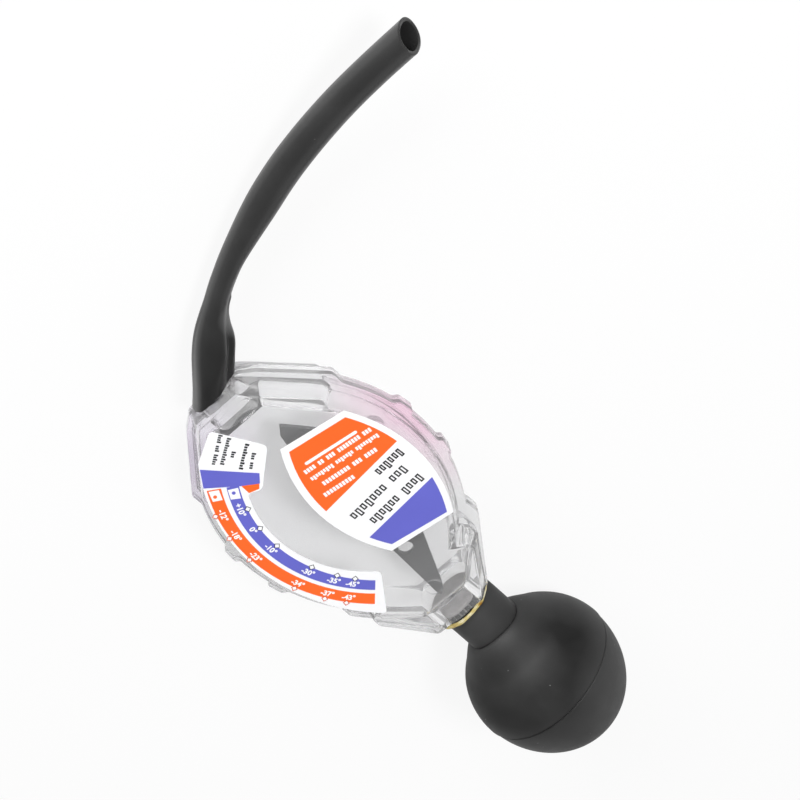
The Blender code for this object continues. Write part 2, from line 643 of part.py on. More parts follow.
def main():
    clear_scene()
    clear = make_material("clear_plastic", (0.86, 0.88, 0.90), 0.06, alpha=0.35)
    rubber = make_material("black_rubber", (0.025, 0.025, 0.028), 0.55)
    dark = make_material("vane_plastic", (0.07, 0.07, 0.075), 0.45)
    steel = make_material("steel", (0.62, 0.62, 0.64), 0.25, metallic=1.0)
    glue = make_material("adhesive", (0.62, 0.48, 0.18), 0.35, alpha=0.8)
    print_white = make_material("label_print", (0.92, 0.92, 0.93), 0.4)
    shell_solid("front_shell", clear, 1)
    shell_solid("rear_shell", clear, -1)
    make_vane(dark)
    rod("pivot_pin", PIVOT, PIN_RADIUS, *vane_levels(PIN_LENGTH), ROUND_SIDES // 2, steel)
    rod("balance_weight", WEIGHT_PLACE, WEIGHT_RADIUS, *vane_levels(WEIGHT_HEIGHT), ROUND_SIDES, steel)
    make_hose(rubber)
    make_hose_bead(glue)
    make_bulb(rubber)
    make_bulb_bead(glue)
    make_label("centre_label", centre_label_outline(), print_white)
    make_label("scale_label", scale_label_outline(), print_white)
    frame, pitch = lay_down([thing for thing in bpy.data.objects])
    world = frame.matrix_world
    print("pitch in degrees", round(math.degrees(pitch), 3))
    print("rest frame at", [round(v, 6) for v in frame.location])
    print("vane pivot at", [round(v, 6) for v in world @ Vector((*PIVOT, VANE_LIFT))])
    print("vane axis along", [round(v, 6) for v in world.to_3x3() @ Vector((0.0, 0.0, 1.0))])


main()
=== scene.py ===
# %% [markdown]
# # A dial-type coolant tester
# The tester is a flat, clear housing of two moulded halves. A grey vane swings inside it, a rubber bulb
# draws the coolant in, and a bent rubber hose reaches down to it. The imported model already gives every
# piece its place and size, so this lesson only makes the fine surfaces, the print and the finishes.

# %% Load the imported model
import json
import math

import bpy
import numpy as np
from mathutils import Matrix, Vector


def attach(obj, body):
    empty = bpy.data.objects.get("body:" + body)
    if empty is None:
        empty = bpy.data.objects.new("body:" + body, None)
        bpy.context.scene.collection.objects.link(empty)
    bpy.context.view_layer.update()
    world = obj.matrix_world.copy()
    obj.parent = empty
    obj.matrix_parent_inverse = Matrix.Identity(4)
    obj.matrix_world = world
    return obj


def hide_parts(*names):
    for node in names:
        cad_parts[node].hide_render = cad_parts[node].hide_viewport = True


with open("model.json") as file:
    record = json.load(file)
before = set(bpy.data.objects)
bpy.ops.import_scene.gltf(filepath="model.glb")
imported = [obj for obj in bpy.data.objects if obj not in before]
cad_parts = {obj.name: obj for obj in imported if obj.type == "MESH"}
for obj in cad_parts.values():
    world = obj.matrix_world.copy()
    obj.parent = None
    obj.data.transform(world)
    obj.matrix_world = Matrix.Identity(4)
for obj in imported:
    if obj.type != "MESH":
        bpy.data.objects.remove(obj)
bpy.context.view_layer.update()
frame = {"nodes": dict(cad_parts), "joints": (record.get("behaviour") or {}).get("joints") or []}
nodes = frame["nodes"]
print("nodes in the frame:", sorted(nodes))

# %% [markdown]
# ## The tester's own frame
# The tester lies tilted, because its bulb is thicker than its housing. Shapes are easier to think of in
# the tester's own frame: X runs from hose to bulb, Y across, and Z out of the dial, with Z = 0 where the
# two halves meet. The vane's joint tells where that frame stands: its axis is the frame's Z, and the
# pivot's place in the frame is known.

# %% Work out the tester's frame from the vane's joint
swing = frame["joints"][0]
VANE_PIVOT = np.array([-0.0067, 0.0197, 0.0015])
out_of_dial = np.array(swing["axis"]) / np.linalg.norm(swing["axis"])
towards_bulb = np.array([out_of_dial[2], 0.0, -out_of_dial[0]])
TURN = np.stack([towards_bulb, np.array([0.0, 1.0, 0.0]), out_of_dial], axis=1)
SHIFT = np.array(swing["pos_m"]) - TURN @ VANE_PIVOT


def to_world(points):
    """World point = turn times tester point, plus the frame's own place."""
    return np.asarray(points) @ TURN.T + SHIFT


pitch_deg = math.degrees(math.acos(TURN[2, 2]))
print("tester frame stands at", np.round(SHIFT, 5), "and is pitched by", round(pitch_deg, 2), "degrees")

# %% [markdown]
# ## The camera
# The photograph looks down on the dial from beyond the hose's side, with a long lens, and its upward
# direction leans towards the hose. A place, a target and an upward direction settle all of that.

# %% Set up the camera
CAMERA_PLACE = to_world([-0.2320, 0.1675, 0.4330])
CAMERA_TARGET = to_world([-0.0118, 0.0342, 0.0])
CAMERA_UP = TURN @ np.array([-0.60068, 0.62549, -0.49794])
CAMERA_LENS_MM = 81.0

backwards = Vector(CAMERA_PLACE - CAMERA_TARGET).normalized()
rightwards = Vector(CAMERA_UP).cross(backwards).normalized()
upwards = backwards.cross(rightwards)
camera_axes = Matrix((rightwards, upwards, backwards)).transposed()
camera = bpy.data.objects.new("camera", bpy.data.cameras.new("camera"))
camera.data.lens = CAMERA_LENS_MM
camera.matrix_world = Matrix.Translation(CAMERA_PLACE) @ camera_axes.to_4x4()
bpy.context.scene.collection.objects.link(camera)
bpy.context.scene.camera = camera
print("camera stands at", np.round(CAMERA_PLACE, 3))

# %% [markdown]
# ## Helpers for surfaces
# Most pieces are rings of points that follow one another: a wall is a stack of outlines, and a tube is a
# section carried along a path. One helper skins such rings, and another turns points into an object.


# %% Skin rings of points and make objects of them
SHARP_EDGE_DEG = 32.0


def make_object(name, points, faces, material, sharp_deg=SHARP_EDGE_DEG):
    """Puts world points and faces into a mesh, whose smooth faces break where they turn by sharp_deg."""
    mesh = bpy.data.meshes.new(name)
    mesh.from_pydata(np.asarray(points).reshape(-1, 3).tolist(), [], faces)
    mesh.shade_smooth()
    mesh.set_sharp_from_angle(angle=math.radians(sharp_deg))
    thing = bpy.data.objects.new(name, mesh)
    bpy.context.scene.collection.objects.link(thing)
    if material is not None:
        mesh.materials.append(material)
    return thing


def skin_faces(rows, columns, ends):
    """Quads between neighbouring rings; ends: caps adds two lids, loop joins last to first, open neither."""
    last = rows if ends == "loop" else rows - 1
    low = np.arange(last)[:, None] * columns + np.arange(columns)[None, :]
    beside = np.roll(low, -1, axis=1)
    above = (low + columns) % (rows * columns)
    diagonal = (beside + columns) % (rows * columns)
    faces = np.stack([low, beside, diagonal, above], axis=2).reshape(-1, 4).tolist()
    if ends == "caps":
        faces.append(list(range(columns))[::-1])
        faces.append(list(range((rows - 1) * columns, rows * columns)))
    return faces


def skin(name, rings, ends, material, sharp_deg=SHARP_EDGE_DEG):
    """An object from rings given in the tester's frame, as an array of rows, columns and coordinates."""
    rings = np.asarray(rings, dtype=float)
    faces = skin_faces(rings.shape[0], rings.shape[1], ends)
    return make_object(name, to_world(rings), faces, material, sharp_deg)


def face_outwards(thing):
    """Turns every face of a closed piece outwards, by the sign of the volume that they enclose."""
    mesh = thing.data
    mesh.calc_loop_triangles()
    spots = np.empty(len(mesh.vertices) * 3)
    mesh.vertices.foreach_get("co", spots)
    corners = np.empty(len(mesh.loop_triangles) * 3, dtype=np.int32)
    mesh.loop_triangles.foreach_get("vertices", corners)
    a, b, c = spots.reshape(-1, 3)[corners.reshape(-1, 3)].transpose(1, 0, 2)
    if np.einsum("ij,ij->i", a, np.cross(b, c)).sum() < 0:
        mesh.flip_normals()
    return thing


def dress(thing, body, slot, *replaced):
    """Lets a finished piece ride on its body and hides the solids that it stands for; its slot is not used.
    """
    face_outwards(thing)
    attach(thing, body)
    if replaced:
        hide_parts(*replaced)
    print("made", thing.name, "with", len(thing.data.polygons), "faces")
    return thing


# %% [markdown]
# ## Helpers for finishes
# Each finish is a Principled shader with a few texture nodes around it. The helpers below only add and
# join nodes, so that the cells for the finishes read like a list of what the real surface shows.


# %% Build node trees with few words
def finish(name, **sockets):
    """A new material with a Principled shader, its sockets set by name with underscores for spaces."""
    material = bpy.data.materials.new(name)
    material.use_nodes = True
    tree = material.node_tree
    shader = tree.nodes["Principled BSDF"]
    for key, value in sockets.items():
        shader.inputs[key.replace("_", " ")].default_value = value
    return material, tree, shader


def add(tree, kind, settings=None, **sockets):
    """A new node; settings are its own properties, and sockets are values or the outputs that feed them.

    A socket goes by its name, or by an underscore and its number where several have the same name.
    """
    node = tree.nodes.new(kind)
    for key, value in (settings or {}).items():
        setattr(node, key, value)
    for key, value in sockets.items():
        socket = node.inputs[int(key[1:])] if key[0] == "_" else node.inputs[key.replace("_", " ")]
        if isinstance(value, bpy.types.NodeSocket):
            tree.links.new(value, socket)
        else:
            socket.default_value = value
    return node


def object_place(tree):
    """Object coordinates, which in every piece here are places in the tester's world, in metres."""
    return add(tree, "ShaderNodeTexCoord").outputs["Object"]


def noise(tree, grains_per_metre, detail=3.0, roughness=0.5):
    """A cloudy pattern from 0 to 1, with the given number of clouds to the metre."""
    node = add(tree, "ShaderNodeTexNoise", Vector=object_place(tree), Scale=grains_per_metre, Detail=detail,
               Roughness=roughness)
    return node.outputs["Fac"]


def ramp(tree, value, stops):
    """A colour that changes with a value; stops are (place, colour) pairs."""
    node = add(tree, "ShaderNodeValToRGB", Fac=value)
    while len(node.color_ramp.elements) < len(stops):
        node.color_ramp.elements.new(0.5)
    for element, (place, colour) in zip(node.color_ramp.elements, stops):
        element.position = place
        element.color = (*colour, 1.0)
    return node.outputs["Color"]


def spread(tree, value, low, high):
    """Moves a pattern from 0 to 1 into the range from low to high."""
    return add(tree, "ShaderNodeMapRange", Value=value, To_Min=low, To_Max=high).outputs["Result"]


def bump(tree, shader, height, strength, distance):
    """Lets a pattern raise and lower the surface by up to the distance, in metres."""
    node = add(tree, "ShaderNodeBump", Height=height, Strength=strength, Distance=distance)
    tree.links.new(node.outputs["Normal"], shader.inputs["Normal"])


def maths(tree, operation, *values, clamped=False):
    """The result of one step of arithmetic on numbers or outputs."""
    sockets = {f"_{number}": value for number, value in enumerate(values)}
    return add(tree, "ShaderNodeMath", {"operation": operation, "use_clamp": clamped}, **sockets).outputs[0]


def coat(tree, share, under, over):
    """The colour under, covered by the colour over to a share from 0 to 1."""
    node = add(tree, "ShaderNodeMix", {"data_type": "RGBA"}, Factor=share, _6=under, _7=(*over, 1.0))
    return node.outputs[2]


# %% [markdown]
# ## Clear plastic
# The housing is moulded in clear styrene. It is real glass-like matter here: each half is a closed solid,
# and light bends at its faces, a little less than in window glass, which draws thin grey lines along its
# edges. Moulding leaves slow waves in the faces, and the rim has a faint lilac and pink cast. The rear
# half is hazier than the front one, so that shadows of the labels fall on it. Light that is on its way to
# a matt surface passes straight through, as it would in a bright room.


# %% The finish of the clear plastic
PINK_CAST = ([-0.0060, 0.0340, 0.0], 0.030, (0.97, 0.83, 0.90))
LILAC_CAST = ([-0.0400, -0.0190, 0.0], 0.024, (0.95, 0.91, 0.98))
PLASTIC_TINTS = [(0.3, (0.955, 0.955, 0.96)), (0.7, (0.975, 0.975, 0.976))]
PASSING_TINT = (0.93, 0.93, 0.935, 1.0)
FRONT_CLEARNESS, REAR_CLEARNESS = 0.94, 0.84


def near_place(tree, place, reach):
    """Falls from 1 at a place to 0 at the reach, broken up by slow clouds."""
    middle = to_world(place)
    centred = add(tree, "ShaderNodeMapping", Vector=object_place(tree), Location=tuple(-middle / reach),
                  Scale=(1.0 / reach,) * 3)
    near = add(tree, "ShaderNodeTexGradient", {"gradient_type": "SPHERICAL"}, Vector=centred.outputs[0])
    clouds = spread(tree, noise(tree, 70.0, 2.0), 0.3, 2.2)
    return maths(tree, "MULTIPLY", near.outputs["Fac"], clouds, clamped=True)


def clear_plastic(name, clearness):
    """Glass-like plastic with slow waves, a little haze, and a pink and a lilac cast near the rim."""
    material, tree, shader = finish(name, Roughness=0.04, IOR=1.46, Transmission_Weight=clearness,
                                    Specular_IOR_Level=0.5)
    tint = ramp(tree, noise(tree, 30.0, 2.0), PLASTIC_TINTS)
    for place, reach, colour in (PINK_CAST, LILAC_CAST):
        tint = coat(tree, near_place(tree, place, reach), tint, colour)
    tree.links.new(tint, shader.inputs["Base Color"])
    bump(tree, shader, noise(tree, 90.0, 2.0), 0.10, 0.0004)
    path = add(tree, "ShaderNodeLightPath")
    passing = maths(tree, "MAXIMUM", path.outputs["Is Shadow Ray"], path.outputs["Is Diffuse Ray"])
    straight = add(tree, "ShaderNodeBsdfTransparent", Color=PASSING_TINT)
    mixed = add(tree, "ShaderNodeMixShader", _0=passing, _1=shader.outputs[0], _2=straight.outputs[0])
    tree.links.new(mixed.outputs[0], tree.nodes["Material Output"].inputs["Surface"])
    return material


front_plastic = clear_plastic("front_plastic", FRONT_CLEARNESS)
rear_plastic = clear_plastic("rear_plastic", REAR_CLEARNESS)
print("finishes ready:", front_plastic.name, rear_plastic.name)

# %% [markdown]
# ## Black rubber
# Bulb and hose are the same black rubber. It is matt with a broad soft sheen, it has a very fine grain
# from its mould, and small pale specks of dust sit on it. Each of the two pieces also has a few broad
# patches of painted light and shade, which are darker or paler than the rest.


# %% The finish of the rubber
DUST_SPECKS_PER_METRE, DUST_SPECK_SIZE, DUST_GREY = 210.0, 0.035, 0.16
GRAIN_PER_METRE, GRAIN_HEIGHT = 2600.0, 0.00005
# The bulb's dark patches are painted shade and its pale patches are painted light.
BULB_PAINTED_LIGHT_AND_SHADE = (([0.0590, 0.001, 0.009], 0.012, 0.046), ([0.0830, -0.0240, 0.006], 0.030, 0.003),
                ([0.0780, 0.0200, 0.012], 0.018, 0.004), ([0.1020, 0.0150, 0.014], 0.018, 0.048),
                ([0.1020, -0.0180, 0.014], 0.018, 0.050))
# On the hose, the dark patch at the base is painted shade and the pale one on the wing is a painted
# highlight.
HOSE_PAINTED_LIGHT_AND_SHADE = (([-0.0560, 0.0040, 0.0], 0.026, 0.009), ([-0.0640, 0.0200, 0.0], 0.006, 0.130))


def black_rubber(name, sheen_rough, shine, tones, patches):
    """Dark rubber: slow changes in tone and gloss, patches of painted light and shade, a fine grain, and a
    few specks of dust.

    Tones are its darkest and its palest grey, and a patch, painted light or painted shade, is a place, its
    reach and its grey.
    """
    material, tree, shader = finish(name, Roughness=sheen_rough, Specular_IOR_Level=shine)
    tone = ramp(tree, noise(tree, 60.0, 4.0), [(0.3, (tones[0],) * 3), (0.7, (tones[1],) * 3)])
    # The patches are painted light and painted shade, laid over the rubber's tone.
    for place, reach, grey in patches:
        tone = coat(tree, near_place(tree, place, reach), tone, (grey,) * 3)
    specks = add(tree, "ShaderNodeTexVoronoi", Vector=object_place(tree), Scale=DUST_SPECKS_PER_METRE,
                 Randomness=1.0)
    dust = maths(tree, "LESS_THAN", specks.outputs["Distance"], DUST_SPECK_SIZE)
    tree.links.new(coat(tree, dust, tone, (DUST_GREY,) * 3), shader.inputs["Base Color"])
    tree.links.new(spread(tree, noise(tree, 240.0), sheen_rough - 0.06, sheen_rough + 0.08),
                   shader.inputs["Roughness"])
    bump(tree, shader, noise(tree, GRAIN_PER_METRE, 2.0), 0.25, GRAIN_HEIGHT)
    return material


bulb_rubber = black_rubber("bulb_rubber", 0.52, 0.25, (0.018, 0.034), BULB_PAINTED_LIGHT_AND_SHADE)
hose_rubber = black_rubber("hose_rubber", 0.31, 0.50, (0.020, 0.027), HOSE_PAINTED_LIGHT_AND_SHADE)
print("finishes ready:", bulb_rubber.name, hose_rubber.name)

# %% [markdown]
# ## The other finishes
# The vane is a thin grey moulding with a satin face. The labels are printed film: white, orange, violet
# blue and black ink, each with the slight unevenness of a cheap print. The adhesive has yellowed, and the
# pin and the weight are plain steel.


# %% Finishes of the vane, the print, the adhesive and the steel
def mottled(name, colour, rough, unevenness, grains_per_metre, **sockets):
    """A colour that strays a little to both sides in slow clouds, over a faint grain."""
    material, tree, shader = finish(name, Roughness=rough, **sockets)
    dark = tuple(channel * (1.0 - unevenness) for channel in colour)
    light = tuple(min(channel * (1.0 + unevenness), 1.0) for channel in colour)
    tree.links.new(ramp(tree, noise(tree, grains_per_metre, 4.0), [(0.3, dark), (0.7, light)]),
                   shader.inputs["Base Color"])
    tree.links.new(spread(tree, noise(tree, grains_per_metre * 6.0), rough - 0.05, rough + 0.05),
                   shader.inputs["Roughness"])
    bump(tree, shader, noise(tree, 1800.0, 2.0), 0.1, 0.00003)
    return material


vane_grey = mottled("vane_grey", (0.062, 0.062, 0.064), 0.42, 0.10, 120.0)
label_white = mottled("label_white", (0.86, 0.86, 0.875), 0.34, 0.012, 80.0)
ink_white = mottled("ink_white", (0.88, 0.88, 0.88), 0.34, 0.02, 80.0)
ink_orange = mottled("ink_orange", (0.93, 0.130, 0.016), 0.34, 0.03, 80.0)
ink_blue = mottled("ink_blue", (0.120, 0.125, 0.53), 0.34, 0.03, 80.0)
mark_red = mottled("mark_red", (0.62, 0.075, 0.012), 0.34, 0.05, 80.0)
ink_black = mottled("ink_black", (0.012, 0.012, 0.014), 0.34, 0.10, 80.0)
steel = mottled("steel", (0.62, 0.62, 0.64), 0.28, 0.05, 400.0, Metallic=1.0)
bush_grey = mottled("bush_grey", (0.25, 0.24, 0.235), 0.30, 0.22, 260.0, Transmission_Weight=0.15)


GLUE_PATCH_STOPS = (0.38, 0.52, 0.66)
AGED_GLUE_COLOURS = ((0.74, 0.70, 0.52), (0.60, 0.50, 0.20), (0.40, 0.20, 0.035))
CLEAR_GLUE_COLOURS = ((0.90, 0.90, 0.90), (0.80, 0.80, 0.79), (0.55, 0.55, 0.54))


def set_adhesive(name, clearness, colours):
    """Glossy adhesive whose colour changes in patches, from the first colour to the last."""
    material, tree, shader = finish(name, Roughness=0.18, IOR=1.46, Transmission_Weight=clearness)
    patches = ramp(tree, noise(tree, 240.0, 4.0), list(zip(GLUE_PATCH_STOPS, colours)))
    tree.links.new(patches, shader.inputs["Base Color"])
    bump(tree, shader, noise(tree, 900.0, 2.0), 0.5, 0.0002)
    return material


aged_adhesive = set_adhesive("aged_adhesive", 0.2, AGED_GLUE_COLOURS)
clear_adhesive = set_adhesive("clear_adhesive", 0.72, CLEAR_GLUE_COLOURS)
print("finishes ready:", len(bpy.data.materials))

# %% [markdown]
# ## The housing's outlines
# Seen from the front the housing is a long barrel with wedge-shaped ends. Both sides are arcs of one
# circle, and everything is mirrored about the long axis. A flange runs round the joint, with two grip
# nubs on each side, and a tray with leaning walls rises from it to the flat window.

# %% Sizes of the housing
BOW_CENTRE_X, BOW_HALF_WIDTH, BOW_RADIUS = -0.0030, 0.0340, 0.0530
HOSE_END_X, BULB_END_X = -0.0515, 0.0530
FLANGE_BULB_CORNERS = [(BULB_END_X, 0.0105), (0.0312, 0.0257), (0.0272, 0.0256)]
FLANGE_HOSE_CORNERS = [(-0.0288, 0.0275), (-0.0324, 0.0275), (-0.0482, 0.0135), (HOSE_END_X, 0.0092)]
TRAY_BULB_CORNERS = [(BULB_END_X, 0.0098), (0.0364, 0.0208), (0.0318, 0.0206)]
TRAY_HOSE_CORNERS = [(-0.0306, 0.0248), (-0.0334, 0.0246), (-0.0480, 0.0117), (HOSE_END_X, 0.0083)]
NUB_CENTRES_X, NUB_LENGTH, NUB_HEIGHT, NUB_FLANK = (0.0080, -0.0101), 0.0068, 0.0013, 0.0010
LEDGE = 0.0026
FLANGE_THICKNESS, SHELL_DEPTH, SHELL_WALL, WALL_LEAN = 0.0025, 0.0100, 0.0018, 0.0020
PARTING_GAP, PARTING_CHAMFER = 0.0003, 0.0001
FLANGE_EDGE_RADIUS, WINDOW_EDGE_RADIUS, FLOOR_FILLET = 0.0005, 0.0007, 0.0006
CORNER_RADIUS, CORNER_SHARE, SHARP_TURN_DEG = 0.0008, 0.45, 12.0
CHAMBER_BOW_END_X = -0.0375
BULB_SOCKET_DEPTH, HOSE_SOCKET_DEPTH = 0.0073, 0.0075
SEAT_GAP, OVERRUN = 0.0003, 0.0010


# %% Outlines as arrays
def bow(radius, start_x, end_x, count):
    """Points of the upper bow: y = half width - bow radius + root(radius squared - (x - centre) squared)."""
    x = np.linspace(start_x, end_x, count)
    y = BOW_HALF_WIDTH - BOW_RADIUS + np.sqrt(radius ** 2 - (x - BOW_CENTRE_X) ** 2)
    return np.stack([x, y], axis=1)


def mirrored(upper):
    """Closes an upper half, which runs from the bulb end to the hose end, with its mirror image."""
    return np.concatenate([upper, upper[::-1] * (1.0, -1.0)])


def flange_outline():
    """The flange's edge, with its grip nubs."""
    runs = [np.array(FLANGE_BULB_CORNERS)]
    last = FLANGE_BULB_CORNERS[-1][0] - NUB_FLANK
    for centre in NUB_CENTRES_X:
        high, low = centre + NUB_LENGTH / 2, centre - NUB_LENGTH / 2
        runs.append(bow(BOW_RADIUS, last, high, 9))
        runs.append(bow(BOW_RADIUS + NUB_HEIGHT, high - NUB_FLANK, low + NUB_FLANK, 5))
        last = low
    runs.append(bow(BOW_RADIUS, last, FLANGE_HOSE_CORNERS[0][0] + NUB_FLANK, 9))
    runs.append(np.array(FLANGE_HOSE_CORNERS))
    return mirrored(np.concatenate(runs))


def tray_bow(end_x, count):
    """The tray's side, a ledge's width inside the flange, from its bulb corners to a given x."""
    return bow(BOW_RADIUS - LEDGE, TRAY_BULB_CORNERS[-1][0] - LEDGE / 2, end_x, count)


def tray_outline():
    """The foot of the tray, which stands on the flange."""
    side = tray_bow(TRAY_HOSE_CORNERS[0][0] + LEDGE / 2, 33)
    return mirrored(np.concatenate([TRAY_BULB_CORNERS, side, TRAY_HOSE_CORNERS]))


def inset(outline, distance):
    """Moves each side inwards: a corner moves along its bisector by distance over cos(half its turn)."""
    before = outline - np.roll(outline, 1, axis=0)
    after = np.roll(outline, -1, axis=0) - outline
    before = before / np.linalg.norm(before, axis=1)[:, None]
    after = after / np.linalg.norm(after, axis=1)[:, None]
    inwards = np.stack([-(before + after)[:, 1], (before + after)[:, 0]], axis=1)
    inwards /= np.linalg.norm(inwards, axis=1)[:, None]
    cosine = inwards[:, 1] * before[:, 0] - inwards[:, 0] * before[:, 1]
    return outline + inwards * (distance / cosine)[:, None]


def turns(outline):
    """The angle in degrees by which an outline turns at each of its points."""
    before = outline - np.roll(outline, 1, axis=0)
    after = np.roll(outline, -1, axis=0) - outline
    cross = before[:, 0] * after[:, 1] - before[:, 1] * after[:, 0]
    return np.degrees(np.arctan2(cross, (before * after).sum(axis=1)))


def round_corners(outline, radius, sharp, count=5):
    """Replaces each sharp corner by a parabola: corner + back (1 - t) squared + on t squared."""
    back = np.roll(outline, 1, axis=0) - outline
    on = np.roll(outline, -1, axis=0) - outline
    back_length, on_length = np.linalg.norm(back, axis=1), np.linalg.norm(on, axis=1)
    reach = np.minimum(radius, np.minimum(back_length, on_length) * CORNER_SHARE) * sharp
    t = np.linspace(0.0, 1.0, count)[None, :, None]
    back = (back / back_length[:, None] * reach[:, None])[:, None, :]
    on = (on / on_length[:, None] * reach[:, None])[:, None, :]
    points = outline[:, None, :] + back * (1.0 - t) ** 2 + on * t ** 2
    keep = np.ones((len(outline), count), dtype=bool)
    keep[~sharp, 1:] = False
    return points[keep]


def levels(outline, insets, heights):
    """A stack of rings: the outline moved inwards and lifted, with the same corners rounded on each."""
    sharp = np.abs(turns(outline)) > SHARP_TURN_DEG
    rings = []
    for distance, height in zip(insets, heights):
        flat = round_corners(inset(outline, distance), CORNER_RADIUS, sharp)
        rings.append(np.column_stack([flat, np.full(len(flat), height)]))
    return np.array(rings)


print("points on the flange's edge:", len(flange_outline()), "and on the tray's:", len(tray_outline()))

# %% [markdown]
# ## The two clear halves
# Each half is cut like a toolmaker would: a rounded slab for the flange, a tray with leaning walls on it,
# the chamber hollowed out, then the round seat of the bulb's neck and the slot of the hose. The bosses for
# the vane's pin stand up inside. Booleans join the forms, and weighted normals keep the flats flat.


# %% Slab, tray and chamber of one half
def quarter(count):
    """Shares across and up along a quarter round, from its foot to its crest."""
    a = np.radians(np.linspace(0.0, 90.0, count))
    return 1.0 - np.cos(a), np.sin(a)


def flange_slab(side):
    """The flange: a fine chamfer at the joint, a straight edge and a rounded rim."""
    across, up = quarter(5)
    insets = np.concatenate([[PARTING_CHAMFER, 0.0], FLANGE_EDGE_RADIUS * across])
    base = PARTING_GAP / 2
    heights = np.concatenate([[base, base + PARTING_CHAMFER],
                              FLANGE_THICKNESS - FLANGE_EDGE_RADIUS + FLANGE_EDGE_RADIUS * up])
    return levels(flange_outline(), insets, side * heights)


def tray_block(side):
    """The tray: straight through the flange, then leaning walls and a rounded edge round the window."""
    across, up = quarter(6)
    insets = np.concatenate([[0.0, 0.0], WALL_LEAN - WINDOW_EDGE_RADIUS / 4 + WINDOW_EDGE_RADIUS * across])
    heights = np.concatenate([[FLANGE_THICKNESS / 2, FLANGE_THICKNESS],
                              SHELL_DEPTH - WINDOW_EDGE_RADIUS + WINDOW_EDGE_RADIUS * up])
    return levels(tray_outline(), insets, side * heights)


def chamber_outline():
    """The tray's outline less the wall; at the hose's side it follows the bow straight to the corner."""
    side = tray_bow(CHAMBER_BOW_END_X, 41)
    return inset(mirrored(np.concatenate([TRAY_BULB_CORNERS, side, TRAY_HOSE_CORNERS[2:]])), SHELL_WALL)


def chamber_block(side):
    """The hollow, stopped short of both sockets, with a filleted floor."""
    outline = chamber_outline()
    outline[:, 0] = np.clip(outline[:, 0], HOSE_END_X + HOSE_SOCKET_DEPTH, BULB_END_X - BULB_SOCKET_DEPTH)
    across, up = quarter(6)
    floor = SHELL_DEPTH - SHELL_WALL
    insets = np.concatenate([[0.0, 0.0], WALL_LEAN - FLOOR_FILLET / 4 + FLOOR_FILLET * across])
    heights = np.concatenate([[-OVERRUN, FLANGE_THICKNESS], floor - FLOOR_FILLET + FLOOR_FILLET * up])
    return levels(outline, insets, side * heights)


# %% Seats for the neck, the hose and the pin
NECK_RADIUS, NECK_COLLAR_WALL, NECK_COLLAR_END_X = 0.0088, 0.0010, 0.0512
TONGUE_WIDTH, TONGUE_HEIGHT, HOSE_AXIS_Y = 0.0120, 0.0042, 0.0004
HOSE_BEAD_LENGTH, HOSE_BEAD_WIDTH = 0.0012, 0.0007
BOSS_RADIUS, BOSS_CLEARANCE, HUB_HEIGHT = 0.0028, 0.0004, 0.0032
PIN_RADIUS, PIN_CLEARANCE, PIN_LENGTH = 0.0008, 0.0001, 0.0120
BORE_SIDES, SLOT_SIDES, SLOT_POWER = 64, 48, 2.6
RING_PLACE, RING_RADIUS, RING_WIDTH, RING_HEIGHT = (0.0377, 0.0013), 0.0027, 0.0003, 0.00025


def circle(radius, count, start_deg=0.0, end_deg=360.0):
    """Points (radius cos a, radius sin a), the last one left out on a full turn."""
    full = end_deg - start_deg == 360.0
    a = np.radians(np.linspace(start_deg, end_deg, count + 1)[:count + (0 if full else 1)])
    return radius * np.cos(a), radius * np.sin(a)


def section_at(x, y, z):
    """A ring of points across the long axis, all at the same x."""
    return np.column_stack([np.full(len(y), x), y, z])


def bar_along_x(radius, places_x):
    """A round bar on the long axis."""
    y, z = circle(radius, BORE_SIDES)
    return np.array([section_at(x, y, z) for x in places_x])


def collar_rings(side):
    """Half of the round collar over the neck's seat, cut flat inside the flange."""
    y, z = circle(NECK_RADIUS + SEAT_GAP + NECK_COLLAR_WALL, BORE_SIDES // 2, 0.0, 180.0)
    z = side * np.maximum(z, FLANGE_THICKNESS / 2)
    return np.array([section_at(x, y, z) for x in (BULB_END_X - BULB_SOCKET_DEPTH, NECK_COLLAR_END_X)])


def flat_oval(width, height, count, power):
    """A superellipse: across and up are the signed cosine and sine to the power 2 over the given power."""
    a = 2.0 * np.pi * np.arange(count) / count
    across = width / 2 * np.sign(np.cos(a)) * np.abs(np.cos(a)) ** (2.0 / power)
    up = height / 2 * np.sign(np.sin(a)) * np.abs(np.sin(a)) ** (2.0 / power)
    return across, up


def slot_rings():
    """The slot for the hose's flat tongue, with the wider mouth that holds the adhesive."""
    step = HOSE_END_X + HOSE_BEAD_LENGTH + SEAT_GAP
    wide = 2 * SEAT_GAP + HOSE_BEAD_WIDTH
    rings = []
    for x, grow in ((HOSE_END_X + HOSE_SOCKET_DEPTH + OVERRUN, SEAT_GAP), (step, SEAT_GAP),
                    (step, wide), (HOSE_END_X - OVERRUN, wide)):
        y, z = flat_oval(TONGUE_WIDTH + 2 * grow, TONGUE_HEIGHT + 2 * grow, SLOT_SIDES, SLOT_POWER)
        rings.append(section_at(x, HOSE_AXIS_Y + y, z))
    return np.array(rings)


def upright_rings(place, radius, low, high, count=48):
    """A round bar that stands along the tester's Z."""
    x, y = circle(radius, count)
    return np.array([np.column_stack([place[0] + x, place[1] + y, np.full(count, z)]) for z in (low, high)])


# %% Join and cut the forms of one half
def carve(target, rings, operation):
    """Joins or cuts the target by a closed form, at once."""
    tool = face_outwards(skin("tool", rings, "caps", None))
    modifier = target.modifiers.new("carve", "BOOLEAN")
    modifier.operation = operation
    modifier.solver = "EXACT"
    modifier.object = tool
    shape = bpy.data.meshes.new_from_object(target.evaluated_get(bpy.context.evaluated_depsgraph_get()))
    target.modifiers.clear()
    target.data = shape
    bpy.data.objects.remove(tool)


